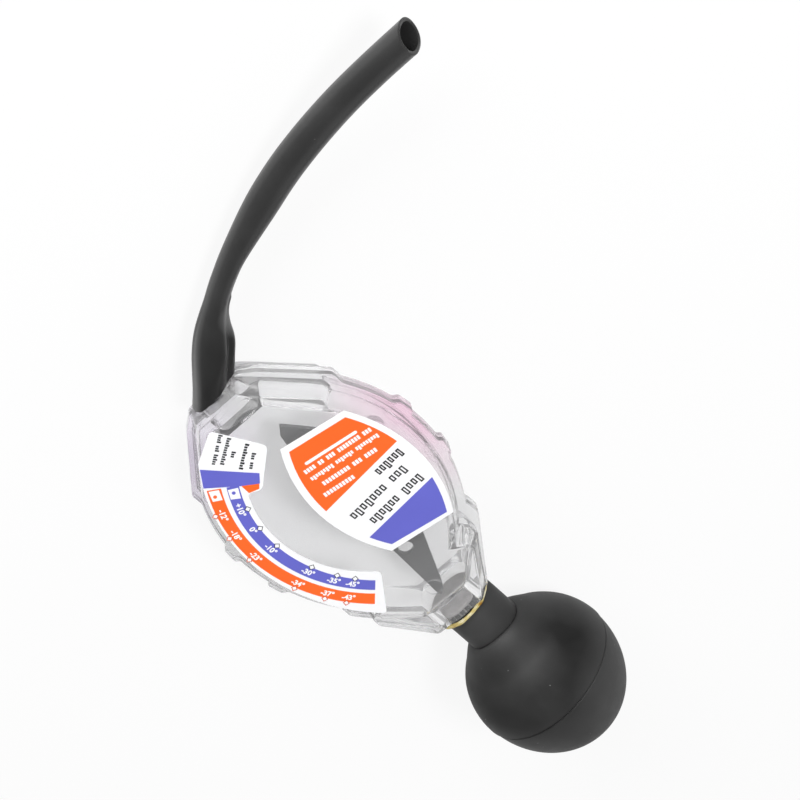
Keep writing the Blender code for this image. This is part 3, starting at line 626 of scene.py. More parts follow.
def flatten_flats(thing, sharp_deg=SHARP_EDGE_DEG):
    """Shades a carved piece so that its large faces set the normals of the small rounds beside them."""
    thing.data.shade_smooth()
    thing.data.set_sharp_from_angle(angle=math.radians(sharp_deg))
    modifier = thing.modifiers.new("flats", "WEIGHTED_NORMAL")
    modifier.keep_sharp = True
    modifier.weight = 90
    shape = bpy.data.meshes.new_from_object(thing.evaluated_get(bpy.context.evaluated_depsgraph_get()))
    thing.modifiers.clear()
    thing.data = shape


def add_window_ring(half):
    """The low ring inside the window near the bulb: a disc on the window's back, and its middle cut out."""
    back = SHELL_DEPTH - SHELL_WALL
    disc = upright_rings(RING_PLACE, RING_RADIUS, back - RING_HEIGHT, back + RING_HEIGHT)
    middle = upright_rings(RING_PLACE, RING_RADIUS - RING_WIDTH, back - 3 * RING_HEIGHT, back)
    carve(half, disc, "UNION")
    carve(half, middle, "DIFFERENCE")


def clear_half(name, side):
    """One half of the housing; side is 1 for the front and -1 for the rear."""
    half = face_outwards(skin(name, flange_slab(side), "caps", front_plastic if side > 0 else rear_plastic))
    carve(half, tray_block(side), "UNION")
    carve(half, collar_rings(side), "UNION")
    carve(half, chamber_block(side), "DIFFERENCE")
    neck_start = BULB_END_X - BULB_SOCKET_DEPTH - OVERRUN
    carve(half, bar_along_x(NECK_RADIUS + SEAT_GAP, (neck_start, BULB_END_X + OVERRUN)), "DIFFERENCE")
    carve(half, slot_rings(), "DIFFERENCE")
    boss_face = VANE_PIVOT[2] + side * (HUB_HEIGHT / 2 + BOSS_CLEARANCE)
    boss_root = side * (SHELL_DEPTH - SHELL_WALL / 2)
    carve(half, upright_rings(VANE_PIVOT, BOSS_RADIUS, boss_face, boss_root), "UNION")
    pin_end = VANE_PIVOT[2] + side * (PIN_LENGTH / 2 + SEAT_GAP)
    carve(half, upright_rings(VANE_PIVOT, PIN_RADIUS + PIN_CLEARANCE, VANE_PIVOT[2], pin_end), "DIFFERENCE")
    if side > 0:
        add_window_ring(half)
    flatten_flats(half)
    return half


# %% Make both halves
dress(clear_half("front_half", 1), "housing", "clear_plastic", "front_shell")
dress(clear_half("rear_half", -1), "housing", "clear_plastic", "rear_shell")

# %% [markdown]
# ## The squeeze bulb
# The bulb is a turned form: a short neck, a crisp crease where the neck's sleeve ends on the ball, a front
# dome a hair larger than the rear one, and a fine mould seam between them. The neck's inner end is cut
# into lugs, which the photograph shows as a row of dark blocks with grey between them. A profile of
# lengths and radii is carried round the long axis, out along the skin and back along the bore, so that
# the wall is closed.

# %% Profile of the bulb
NECK_SLEEVE_RADIUS, NECK_BORE_RADIUS = 0.0091, 0.0064
SEAM_X, BULB_RADIUS, BULB_WALL = 0.0922, 0.0246, 0.0020
BULB_FRONT_LENGTH, BULB_REAR_LENGTH = 0.0240, 0.0275
SEAM_WIDTH, SEAM_DEPTH, REAR_STEP = 0.0005, 0.0005, 0.0003
LUG_START_X, LUG_END_X, LUG_EDGE, LUG_HEIGHT, LUG_COUNT = 0.0503, 0.0527, 0.0001, 0.0016, 24
LUG_MIDDLE_X, LUG_HALF_LENGTH = (LUG_START_X + LUG_END_X) / 2, (LUG_END_X - LUG_START_X) / 2
# The lugs' near black is a painted shade, darker than the rubber's own tone, and the hollows between them
# are coloured grey.
LUG_PAINTED_SHADE, HOLLOW_GREY = (0.003, 0.003, 0.003), (0.30, 0.295, 0.28)
SLEEVE_STEPS = ((0.0002, 0.0), (0.0014, 0.0001), (0.0027, 0.0003), (0.0060, 0.0003))
SLEEVE_GAP, SLEEVE_ROUND, CREASE_LENGTH, CREASE_DEPTH = 0.0001, 0.0005, 0.00012, 0.0003
NECK_ASIDE, ASIDE_STARTS_X, ASIDE_ENDS_X = 0.0010, (0.0531, 0.0556), (0.0660, 0.0800)
SHOULDER_PULL, FRONT_PULL = 0.0024, 0.0018
PULL_STARTS_X, PULL_RADII = (0.0560, 0.0690), (NECK_SLEEVE_RADIUS + 0.0002, 0.0175)
BULB_SIDES = 144


def ease(share, start, end):
    """A smooth step from 0 to 1: t squared times (3 - 2 t)."""
    t = np.clip((share - start) / (end - start), 0.0, 1.0)
    return t * t * (3.0 - 2.0 * t)


def dome(length, radius, start_deg, end_deg, count):
    """Points of a half ellipse about the seam: x = seam + length sin a, radius cos a."""
    a = np.radians(np.linspace(start_deg, end_deg, count))
    return np.stack([SEAM_X + length * np.sin(a), radius * np.cos(a)], axis=1)


def bulb_profile():
    """The skin from the neck's end to the rear pole, and the bore back to the neck's end."""
    meet = -math.degrees(math.acos(NECK_SLEEVE_RADIUS / BULB_RADIUS))
    seam_deg = math.degrees(SEAM_WIDTH / BULB_RADIUS)
    front = dome(BULB_FRONT_LENGTH, BULB_RADIUS, meet, -seam_deg, 60)
    lugs = [[x, NECK_RADIUS] for x in (LUG_START_X, LUG_END_X, LUG_END_X + LUG_EDGE)]
    sleeve = [[BULB_END_X + along, NECK_RADIUS + outwards] for along, outwards in SLEEVE_STEPS]
    sleeve_end = front[0, 0] - SLEEVE_GAP
    a = np.radians(np.linspace(0.0, 80.0, 5))
    lip = np.stack([sleeve_end - SLEEVE_ROUND + SLEEVE_ROUND * np.sin(a),
                    NECK_SLEEVE_RADIUS - SLEEVE_ROUND + SLEEVE_ROUND * np.cos(a)], axis=1)
    crease = np.array([[sleeve_end + CREASE_LENGTH, NECK_SLEEVE_RADIUS - CREASE_DEPTH]])
    seam = np.array([[SEAM_X - SEAM_WIDTH / 3, BULB_RADIUS - SEAM_DEPTH],
                     [SEAM_X + SEAM_WIDTH / 3, BULB_RADIUS - SEAM_DEPTH - REAR_STEP / 2]])
    rear = dome(BULB_REAR_LENGTH, BULB_RADIUS - REAR_STEP, seam_deg, 90.0, 56)[:-1]
    inside = BULB_RADIUS - BULB_WALL
    stop = -math.degrees(math.acos(NECK_BORE_RADIUS / inside))
    bore = np.concatenate([dome(BULB_REAR_LENGTH - BULB_WALL, inside, 90.0, 0.0, 20)[1:],
                           dome(BULB_FRONT_LENGTH - BULB_WALL, inside, 0.0, stop, 20)[1:],
                           [[LUG_START_X, NECK_BORE_RADIUS]]])
    return np.concatenate([lugs, sleeve, lip, crease, front, seam, rear]), bore


# %% Lugs, lean and colours of the neck
def cut_lugs(rings):
    """Sinks a third of each lug's pitch by the lug's height, on the outer rings of the neck's inner end."""
    pitch = BULB_SIDES // LUG_COUNT
    hollow = (np.arange(BULB_SIDES) % pitch) < pitch // 3
    ends = np.abs(rings[:, 0, 0] - LUG_MIDDLE_X) < LUG_HALF_LENGTH + LUG_EDGE / 2
    outer = np.linalg.norm(rings[:, 0, 1:], axis=1) > NECK_RADIUS - LUG_HEIGHT
    scale = 1.0 - (LUG_HEIGHT / NECK_RADIUS) * (ends & outer)[:, None] * hollow[None, :]
    rings[:, :, 1:] *= scale[:, :, None]
    return rings


def settle_neck(rings):
    """Moves the soft neck to one side, and draws the ball's shoulder along the sleeve, most in front."""
    x, y, z = rings[:, :, 0].copy(), rings[:, :, 1].copy(), rings[:, :, 2]
    radius = np.hypot(y, z)
    front = np.clip(z / radius, 0.0, 1.0) ** 2
    fade = ease(x, *PULL_STARTS_X) * (1.0 - ease(radius, *PULL_RADII)) * (x < SEAM_X)
    rings[:, :, 0] = x - (SHOULDER_PULL + FRONT_PULL * front) * fade
    rings[:, :, 1] = y + NECK_ASIDE * ease(x, *ASIDE_STARTS_X) * (1.0 - ease(x, *ASIDE_ENDS_X))
    return rings


def grey_the_hollows(material):
    """Near black, a painted shade, where x lies between the lugs' ends, and grey there where the radius is
    under the lugs' tops.
    """
    tree = material.node_tree
    base = tree.nodes["Principled BSDF"].inputs["Base Color"]
    own = add(tree, "ShaderNodeMapping", {"vector_type": "TEXTURE"}, Vector=object_place(tree),
              Location=tuple(SHIFT), Rotation=tuple(Matrix(TURN.tolist()).to_euler())).outputs[0]
    along = add(tree, "ShaderNodeSeparateXYZ", Vector=own).outputs["X"]
    across = add(tree, "ShaderNodeVectorMath", {"operation": "MULTIPLY"}, _0=own, _1=(0.0, 1.0, 1.0))
    radius = add(tree, "ShaderNodeVectorMath", {"operation": "LENGTH"}, _0=across.outputs[0])
    near = maths(tree, "COMPARE", along, LUG_MIDDLE_X, LUG_HALF_LENGTH)
    low = maths(tree, "LESS_THAN", radius.outputs["Value"], NECK_RADIUS - LUG_HEIGHT / 2)
    # Painted shade: the lugs are coloured near black, darker than the rest of the rubber.
    black = coat(tree, near, base.links[0].from_socket, LUG_PAINTED_SHADE)
    tree.links.new(coat(tree, maths(tree, "MULTIPLY", near, low), black, HOLLOW_GREY), base)


# %% Turn the bulb
def around(line, sides):
    """Carries a line of lengths and radii round the long axis."""
    y, z = circle(1.0, sides)
    return np.stack([np.repeat(line[:, :1], sides, axis=1), line[:, 1:] * y, line[:, 1:] * z], axis=2)


def turned_bulb(name, skin_line, bore, material):
    """Carries both lines round, closes their poles with fans and joins them at the neck's end."""
    sides = BULB_SIDES
    rings = settle_neck(cut_lugs(np.concatenate([around(bore, sides), around(skin_line, sides)])))
    count = len(rings) * sides
    points = np.concatenate([rings.reshape(-1, 3), [[SEAM_X + BULB_REAR_LENGTH - BULB_WALL, 0.0, 0.0],
                                                    [SEAM_X + BULB_REAR_LENGTH, 0.0, 0.0]]])
    faces = skin_faces(len(rings), sides, "open")
    first = np.arange(sides)
    last = first + count - sides
    faces += np.stack([np.roll(first, -1), first, np.full(sides, count)], axis=1).tolist()
    faces += np.stack([last, np.roll(last, -1), np.full(sides, count + 1)], axis=1).tolist()
    return make_object(name, to_world(points), faces, material, sharp_deg=40.0)


grey_the_hollows(bulb_rubber)
rubber_bulb = turned_bulb("rubber_bulb", *bulb_profile(), bulb_rubber)
dress(rubber_bulb, "housing", "black_rubber", "squeeze_bulb")

# %% [markdown]
# ## The bush inside the neck
# Through the clear collar the photograph shows a grey disc before the dark lugs. It is made as a
# translucent bush that stiffens the neck's inner end: one closed ring with an eased edge.

# %% Make the bush
BUSH_RADIUS, BUSH_BORE_RADIUS, BUSH_EASE = 0.0086, 0.0012, 0.0003
BUSH_START_X, BUSH_END_X = 0.0492, LUG_START_X - 0.0002
bush_line = np.array([[BUSH_START_X, BUSH_BORE_RADIUS], [BUSH_START_X, BUSH_RADIUS - BUSH_EASE],
                      [BUSH_START_X + BUSH_EASE, BUSH_RADIUS], [BUSH_END_X, BUSH_RADIUS],
                      [BUSH_END_X, BUSH_BORE_RADIUS]])
dress(skin("neck_bush", around(bush_line, 96), "loop", bush_grey), "housing", "clear_plastic")

# %% [markdown]
# ## The glue round the neck
# Yellowed glue fills the thin gap round the neck and stands out of the housing as an uneven fillet. Its
# section is carried round the neck, and sums of sines make it swell and shrink as a hand-laid bead does.
# Each corner of the section has a length, a radius, and how far it swells along the neck and outwards.

# %% Make the glue
GLUE_SECTION = ((0.0526, 0.00884, 0.0, 0.0), (0.0526, 0.00905, 0.0, 0.0), (0.0529, 0.00905, 0.0, 0.0),
                (0.05304, 0.0092, 0.0, 0.0), (0.05304, 0.0095, 0.0, 0.0006),
                (0.0532, 0.0096, 0.0002, 0.0005), (0.0534, 0.0094, 0.0004, 0.0004),
                (0.0536, 0.0091, 0.0006, 0.0002), (0.0537, 0.0086, 0.0006, 0.0))
GLUE_WAVES = ((0.25, 3, 0.6), (0.15, 7, 2.1), (0.10, 13, 4.0))


def glue_rings(sides=192):
    """Each corner moves by its two swells times 0.5 + the sum of size sin(count a + start) of the waves."""
    a = 2.0 * np.pi * np.arange(sides) / sides
    swell = 0.5 + sum(size * np.sin(count * a + start) for size, count, start in GLUE_WAVES)
    x, radius, along, outwards = np.array(GLUE_SECTION).T[:, :, None]
    x = x + along * swell
    radius = radius + outwards * swell
    return np.stack([x, radius * np.cos(a), radius * np.sin(a)], axis=2)


dress(skin("bulb_glue", glue_rings(), "loop", aged_adhesive), "housing", "adhesive", "bulb_bead")

# %% [markdown]
# ## The pickup hose
# The hose is a thick rubber tube whose lower end is pressed into a flat tongue. Outside the housing the
# tongue swells into a heel. The round tube seems to lie on it and melts into it, so that a thin wing
# stands out beside its waist. The section is therefore the larger of two ovals at each angle, softly
# blended: one for the tongue, one for the tube. Their sizes change in smooth stages along the hose.

# %% Route and stages of the hose
HOSE_ROUTE = np.array([
    (-0.0440, 0.0004, 0.0), (-0.0480, 0.0004, 0.0), (-0.0516, 0.0005, 0.0), (-0.0541, 0.0028, 0.0),
    (-0.0585, 0.0074, 0.0), (-0.0616, 0.0104, 0.0), (-0.0643, 0.0132, 0.0), (-0.0665, 0.0159, 0.0),
    (-0.0688, 0.0191, 0.0), (-0.0713, 0.0231, 0.0), (-0.0738, 0.0279, 0.0), (-0.0766, 0.0342, 0.0001),
    (-0.0805, 0.0447, 0.0006), (-0.0836, 0.0540, 0.0016), (-0.0862, 0.0632, 0.0032),
    (-0.0886, 0.0740, 0.0056), (-0.0906, 0.0852, 0.0086), (-0.0922, 0.0970, 0.0124),
    (-0.0936, 0.1092, 0.0169)])
HOSE_DIAMETER, HOSE_WALL = 0.0091, 0.0010
HOSE_STATIONS, HOSE_SIDES, ROUTE_STEPS = 220, 64, 24
HOSE_SHOWN_DEPTH, MOUTH_LIP_RISE = 0.0034, 0.00025
MOUTH_CUT_SIDEWAYS_DEG, MOUTH_CUT_FORWARD_DEG = 14.0, 12.0
OUTER_SWELL, OUTER_TAPER = 0.0015, 0.0041
WING_SWELL, WING_TAPER, WING_STEP = 0.0026, 0.0054, 0.0004
HEEL_RISE, HEEL_THINNING, RIDGE_RISE = 0.0040, 0.0056, 0.0080
FOOT_WIDTH, WAIST_WIDTH, MOUTH_TAPER = 0.0128, 0.0062, 0.0005
FOOT_ASIDE, WAIST_ASIDE, LEAST_REACH = 0.0004, 0.0005, 0.0005
TONGUE_POWER, FOOT_POWER, TUBE_POWER, BLEND_POWER = 3.6, 2.8, 2.2, 12

# Each stage of the section starts and ends at a share of the hose's length.
STAGES = {"clear": (0.0580, 0.0625), "heel": (0.090, 0.220), "turn": (0.100, 0.290), "wing": (0.100, 0.275),
          "ridge": (0.100, 0.270), "outer": (0.110, 0.290), "waist": (0.110, 0.280), "step": (0.286, 0.298),
          "round": (0.310, 0.540), "taper": (0.600, 0.950), "mouth": (0.940, 1.000)}


def smooth_route(points, count):
    """Even steps along a Catmull-Rom curve through the points, measured by the curve's own length."""
    p = np.concatenate([points[:1], points, points[-1:]])
    t = np.linspace(0.0, 1.0, ROUTE_STEPS, endpoint=False)[None, :, None]
    a, b, c, d = (p[k:len(p) - 3 + k][:, None, :] for k in range(4))
    bends = (2 * a - 5 * b + 4 * c - d) * t ** 2 + (3 * b - a - 3 * c + d) * t ** 3
    fine = 0.5 * (2 * b + (c - a) * t + bends)
    fine = np.concatenate([fine.reshape(-1, 3), points[-1:]])
    run = np.concatenate([[0.0], np.cumsum(np.linalg.norm(np.diff(fine, axis=0), axis=1))])
    at = np.linspace(0.0, run[-1], count)
    return np.stack([np.interp(at, run, fine[:, k]) for k in range(3)], axis=1), run[-1]


def stage(name, share):
    """How far a stage has gone, from 0 to 1, at a share of the hose's length."""
    return ease(share, *STAGES[name])


def hose_frames():
    """Centre, direction, across and up at each station, and the hose's length.

    The sections start along the slot, and turn towards the route while the tongue narrows.
    """
    centre, length = smooth_route(HOSE_ROUTE, HOSE_STATIONS)
    ahead = np.gradient(centre, axis=0)
    ahead /= np.linalg.norm(ahead, axis=1)[:, None]
    turn = np.arctan2(ahead[:, 1], -ahead[:, 0]) * stage("turn", np.linspace(0.0, 1.0, HOSE_STATIONS))
    flat = np.hypot(ahead[:, 0], ahead[:, 1])
    facing = np.stack([-flat * np.cos(turn), flat * np.sin(turn), ahead[:, 2]], axis=1)
    up = np.array([0.0, 0.0, 1.0]) - facing * facing[:, 2:3]
    up /= np.linalg.norm(up, axis=1)[:, None]
    return centre, facing, np.cross(up, facing), up, length


# %% Sections of the hose
def oval_reach(angle, width, height, power):
    """Distance from a superellipse's centre to its edge.

    With n for the power it is (|cos a / half width| to n + |sin a / half height| to n) to -1 / n.
    """
    across = np.abs(np.cos(angle) / (width / 2)) ** power
    upwards = np.abs(np.sin(angle) / (height / 2)) ** power
    return (across + upwards) ** (-1 / power)


def tongue_reach(angle, share, clear):
    """The tongue: thick and wide just outside the slot, then narrower, and thinning into a wing."""
    outer_half = TONGUE_WIDTH / 2 + OUTER_SWELL * clear - OUTER_TAPER * stage("outer", share)
    wing_half = (TONGUE_WIDTH / 2 + WING_SWELL * clear - WING_TAPER * stage("wing", share)
                 - WING_STEP * stage("step", share))
    height = TONGUE_HEIGHT + (HEEL_RISE - HEEL_THINNING * stage("heel", share)) * clear
    return oval_reach(angle, 2 * np.where(np.cos(angle) > 0.0, outer_half, wing_half), height, TONGUE_POWER)


def tube_reach(angle, share, clear):
    """The tube: a ridge on the tongue, then a waist nearer the outer side, and at last the full round."""
    waist, rounding = stage("waist", share), stage("round", share)
    width = (FOOT_WIDTH - (FOOT_WIDTH - WAIST_WIDTH) * waist + (HOSE_DIAMETER - WAIST_WIDTH) * rounding
             - MOUTH_TAPER * stage("taper", share))
    lower_height = TONGUE_HEIGHT + HEEL_RISE * clear + (HOSE_DIAMETER - TONGUE_HEIGHT - HEEL_RISE) * rounding
    upper_height = lower_height + RIDGE_RISE * clear * (1.0 - stage("ridge", share))
    height = np.where(np.sin(angle) > 0.0, upper_height, lower_height)
    power = FOOT_POWER - (FOOT_POWER - TUBE_POWER) * waist
    aside = WAIST_ASIDE * (1.0 - rounding) + FOOT_ASIDE * (1.0 - waist)
    return np.maximum(oval_reach(angle, width, height, power) + aside * np.cos(angle), LEAST_REACH)


def hose_rings(wall):
    """Rings of the hose, a wall's thickness in from its skin.

    At each angle the reach is the twelfth root of the sum of both ovals' twelfth powers, less the wall.
    The last rings slide along the hose by their distance times the slope of the slanting mouth.
    """
    centre, ahead, across, up, _ = hose_frames()
    share = np.linspace(0.0, 1.0, HOSE_STATIONS)[:, None]
    angle = (2.0 * np.pi * np.arange(HOSE_SIDES) / HOSE_SIDES)[None, :]
    clear = stage("clear", share)
    tongue, tube = tongue_reach(angle, share, clear), tube_reach(angle, share, clear)
    reach = (tongue ** BLEND_POWER + tube ** BLEND_POWER) ** (1 / BLEND_POWER) - wall
    side, lift = reach * np.cos(angle), reach * np.sin(angle)
    rings = centre[:, None, :] + across[:, None, :] * side[:, :, None] + up[:, None, :] * lift[:, :, None]
    keep = centre[:, 0] < HOSE_END_X + HOSE_SHOWN_DEPTH
    slide = (side[-1] * math.tan(math.radians(MOUTH_CUT_SIDEWAYS_DEG))
             - lift[-1] * math.tan(math.radians(MOUTH_CUT_FORWARD_DEG)))
    fade = stage("mouth", share[:, 0])
    return (rings + ahead[:, None, :] * slide[None, :, None] * fade[:, None, None])[keep]


# %% Make the hose
hose_skin, hose_bore = hose_rings(0.0), hose_rings(HOSE_WALL)
_, hose_ahead, _, _, hose_length = hose_frames()
mouth_lip = (hose_skin[-1] + hose_bore[-1]) / 2 + hose_ahead[-1] * MOUTH_LIP_RISE
hose_points = np.concatenate([hose_skin, mouth_lip[None], hose_bore[::-1]])
rubber_hose = skin("rubber_hose", hose_points, "loop", hose_rubber, sharp_deg=50.0)
dress(rubber_hose, "housing", "black_rubber", "pickup_hose")
print("hose length in metres along its middle:", round(hose_length, 4))

# %% [markdown]
# ## Printed films
# Both labels are thin films stuck on the window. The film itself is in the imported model, and the print is
# made of flat shapes two hundredths of a millimetre thick on top of it, cut to arcs about the vane's
# pivot or to the label's bowed edges.

# %% Flat printed shapes
FILM_RISE, INK_STEP, INK_LIFT = 0.0003, 0.00002, 0.2
LABEL_TOP = SHELL_DEPTH + FILM_RISE
PIVOT_XY = VANE_PIVOT[:2]


def plates(name, outlines, layer, material):
    """Closed flat plates, one for each outline, on the film; a higher layer lies on a lower one."""
    low = LABEL_TOP + INK_STEP * (INK_LIFT + layer)
    points, faces, start = [], [], 0
    for outline in outlines:
        outline = np.asarray(outline, dtype=float)
        count = len(outline)
        rings = np.array([np.column_stack([outline, np.full(count, z)]) for z in (low, low + INK_STEP)])
        points.append(rings.reshape(-1, 3))
        faces += [[corner + start for corner in face] for face in skin_faces(2, count, "caps")]
        start += 2 * count
    return make_object(name, to_world(np.concatenate(points)), faces, material)


def printed(name, outlines, layer, ink):
    """Dresses flat print, which rides with the housing that its label is stuck to."""
    return dress(plates(name, outlines, layer, ink), "housing", "label_print")


def on_circle(centre, radius, degrees):
    """Points at the given angles on a circle."""
    a = np.radians(np.asarray(degrees, dtype=float))
    return np.stack([centre[0] + radius * np.cos(a), centre[1] + radius * np.sin(a)], axis=-1)


def bowed_panel(low_start, low_end, high_start, high_end, low_bow, high_bow, count=14):
    """A panel between two bowed edges: arcs of the given circles from corner to corner."""
    arcs = []
    edges = ((low_bow, low_start, low_end), (high_bow, high_start, high_end))
    for (centre_x, centre_y, radius), start, end in edges:
        first = math.degrees(math.atan2(start[1] - centre_y, start[0] - centre_x))
        last = math.degrees(math.atan2(end[1] - centre_y, end[0] - centre_x))
        arcs.append(on_circle((centre_x, centre_y), radius, np.linspace(first, last, count)))
    return np.concatenate(arcs)


def bar(start, end, width, count=5):
    """A straight stroke with round ends, from start to end."""
    start, end = np.array(start), np.array(end)
    heading = math.degrees(math.atan2(*(end - start)[::-1]))
    return np.concatenate([on_circle(end, width / 2, np.linspace(heading - 90, heading + 90, count)),
                           on_circle(start, width / 2, np.linspace(heading + 90, heading + 270, count))])


# %% [markdown]
# ## The centre label
# It carries an orange panel at the hose's side, a violet blue one at the bulb's side, a white stroke and
# rows of print. The rows are plain blocks, and the large ones are open frames, each of a letter's size.

# %% Rows of blocks and frames
LETTER_HEIGHTS = np.array([1.0, 0.74, 0.74, 1.0, 0.74, 0.74, 0.74, 1.0, 0.74, 1.0, 0.74])
BLOCK_WIDTH, FRAME_WIDTH = 0.74, 0.70


def letter_places(start, end, words, height, share, capitals=False):
    """Foot, width and rise of each letter from start to end; words holds each word's number of letters."""
    start, end = np.array(start), np.array(end)
    slots = np.concatenate([np.arange(count) + sum(words[:k]) + k for k, count in enumerate(words)])
    pitch = (end - start) / (sum(words) + len(words) - 1 + share)
    up = np.array([-pitch[1], pitch[0]]) / np.linalg.norm(pitch)
    for slot in slots:
        tall = height * (1.0 if capitals else LETTER_HEIGHTS[slot % len(LETTER_HEIGHTS)])
        yield start + pitch * slot - up * height / 2, pitch * share, up * tall


def letter_blocks(start, end, words, height, capitals=False):
    """A row of small blocks."""
    return [np.array([foot, foot + wide, foot + wide + rise, foot + rise])
            for foot, wide, rise in letter_places(start, end, words, height, BLOCK_WIDTH, capitals)]


def letter_frames(start, end, words, height, stroke):
    """A row of open frames: two uprights with a foot and a head stroke between them."""
    strokes = []
    for foot, wide, rise in letter_places(start, end, words, height, FRAME_WIDTH):
        along, up = wide / np.linalg.norm(wide) * stroke, rise / np.linalg.norm(rise) * stroke
        between = wide - 2 * along
        for low, side, high in ((foot, along, rise), (foot + wide - along, along, rise),
                                (foot + along, between, up), (foot + along + rise - up, between, up)):
            strokes.append(np.array([low, low + side, low + side + high, low + high]))
    return strokes


# %% Make the centre label's print
UPPER_BOW, LOWER_BOW = (-0.0032, -0.0173, 0.0455), (-0.0042, 0.0422, 0.0438)
ORANGE_CORNERS = ((-0.0269, 0.0051), (-0.0054, -0.0015), (-0.0079, 0.0275), (-0.0241, 0.0236))
BLUE_CORNERS = ((0.0102, 0.0004), (0.0169, 0.0029), (0.0197, 0.0217), (0.0079, 0.0265))
STROKE_START, STROKE_END, STROKE_WIDTH = (-0.0209, 0.0056), (-0.0184, 0.0219), 0.0010
SMALL_ROWS = (((-0.0161, 0.0255), (-0.0192, 0.0022), (3, 8, 3, 2, 4), 0.0014, True),
              ((-0.0132, 0.0257), (-0.0161, 0.0020), (9, 7, 9), 0.0015),
              ((-0.0102, 0.0222), (-0.0128, 0.0031), (4, 3, 9), 0.0014, True),
              ((-0.0082, 0.0118), (-0.0098, 0.0007), (10,), 0.0014, True))
TITLE_HEIGHT, TITLE_STROKE = 0.0029, 0.00045
TITLE_ROWS = (((-0.0047, 0.0266), (-0.0038, 0.0154), (6,)), ((0.0002, 0.0236), (0.0020, 0.0001), (3, 7)),
              ((0.0055, 0.0249), (0.0071, 0.0031), (4, 6)))

white_stroke = bar(STROKE_START, STROKE_END, STROKE_WIDTH)
small_blocks = [block for row in SMALL_ROWS for block in letter_blocks(*row)]
title_strokes = [piece for row in TITLE_ROWS for piece in letter_frames(*row, TITLE_HEIGHT, TITLE_STROKE)]
printed("orange_panel", [bowed_panel(*ORANGE_CORNERS, LOWER_BOW, UPPER_BOW)], 0, ink_orange)
printed("blue_panel", [bowed_panel(*BLUE_CORNERS, LOWER_BOW, UPPER_BOW)], 0, ink_blue)
printed("white_strokes", [white_stroke, *small_blocks], 1, ink_white)
printed("black_strokes", title_strokes, 0, ink_black)

# %% [markdown]
# ## The scale
# Two bands run round the pivot: the inner one is blue and the outer one orange, each with its numbers and
# a small diamond at every mark. A blue block crosses both at their start, and the note above it holds
# rows of small blocks. The bands' edges drift from true circles, as the real ones do.

# %% Bands, marks and corners about the pivot
SCALE_MIDDLE_DEG, SCALE_REACH_DEG = -84.0, 40.0
BAND_START_DEG, BAND_END_DEG, BAND_POINTS = -125.2, -43.9, 90
BLUE_EDGES = ((0.03915, 0.00055, 0.00060), (0.04270, 0.00050, 0.00050))
ORANGE_EDGES = ((0.04395, 0.00040, 0.00065), (0.04750, 0.00028, 0.00100))


def edge_radius(edge, degrees):
    """Radius of a band's edge: r + a t + b t squared, where t counts forty degrees from the middle."""
    t = (np.asarray(degrees, dtype=float) - SCALE_MIDDLE_DEG) / SCALE_REACH_DEG
    return edge[0] + edge[1] * t + edge[2] * t ** 2


def band(edges):
    """A printed band, out along its outer edge and back along its inner one."""
    angles = np.linspace(BAND_START_DEG, BAND_END_DEG, BAND_POINTS)
    return np.concatenate([on_circle(PIVOT_XY, edge_radius(edges[1], angles), angles),
                           on_circle(PIVOT_XY, edge_radius(edges[0], angles[::-1]), angles[::-1])])


def polar_shape(corners):
    """A shape from corners given as degrees about the pivot and radius."""
    degrees, radius = np.array(corners).T
    return on_circle(PIVOT_XY, radius, degrees)


def diamonds(marks, edge, beyond, size):
    """A small square on its tip at each mark, its middle a little beyond the band's edge."""
    tips = np.array([0.0, 90.0, 180.0, 270.0])
    squares = []
    for degrees, _ in marks.values():
        middle = on_circle(PIVOT_XY, edge_radius(edge, degrees) + beyond, degrees)
        squares.append(on_circle(middle, size / 2, tips + degrees))
    return squares


# %% Make the bands and the blocks at their start
BLUE_BLOCK = [(-133.6, 0.0494), (-126.3, 0.0490), (-124.8, 0.0390), (-124.4, 0.0334), (-130.2, 0.0331)]
ORANGE_CORNER = [(-125.2, 0.0388), (-120.5, 0.0370), (-121.5, 0.0339), (-125.0, 0.0335)]
OUTER_UNIT_BOX = [(-124.7, 0.0449), (-124.7, 0.0478), (-120.5, 0.0474), (-120.3, 0.0446)]
INNER_UNIT_BOX = [(-124.2, 0.0396), (-124.0, 0.0425), (-119.6, 0.0424), (-119.0, 0.0396)]
UNIT_DOT_DEG, UNIT_DOT_RADIUS, OUTER_DOT_REACH, INNER_DOT_REACH = -122.2, 0.00055, 0.0464, 0.0411


def unit_dot(reach):
    """A dot in a unit's box, at its reach from the pivot."""
    middle = on_circle(PIVOT_XY, reach, UNIT_DOT_DEG)
    return on_circle(middle, UNIT_DOT_RADIUS, np.arange(0.0, 360.0, 20.0))


printed("blue_band", [band(BLUE_EDGES)], 0, ink_blue)
printed("orange_band", [band(ORANGE_EDGES)], 0, ink_orange)
printed("blue_block", [polar_shape(BLUE_BLOCK)], 1, ink_blue)
printed("orange_corner", [polar_shape(ORANGE_CORNER)], 0, ink_orange)
printed("unit_boxes", [polar_shape(OUTER_UNIT_BOX), polar_shape(INNER_UNIT_BOX)], 1, ink_white)
printed("outer_unit_dot", [unit_dot(OUTER_DOT_REACH)], 2, ink_orange)
printed("inner_unit_dot", [unit_dot(INNER_DOT_REACH)], 2, ink_blue)

# %% [markdown]
# ## Marks and numbers
# Each mark has its number, and beside it the angles of its diamond and of the number about the pivot,
# because the numbers aren't quite in line with their marks. A diamond is two squares on their tips, the
# white one on top of the darker one. A number is flat text, made a mesh before it is laid in its place.

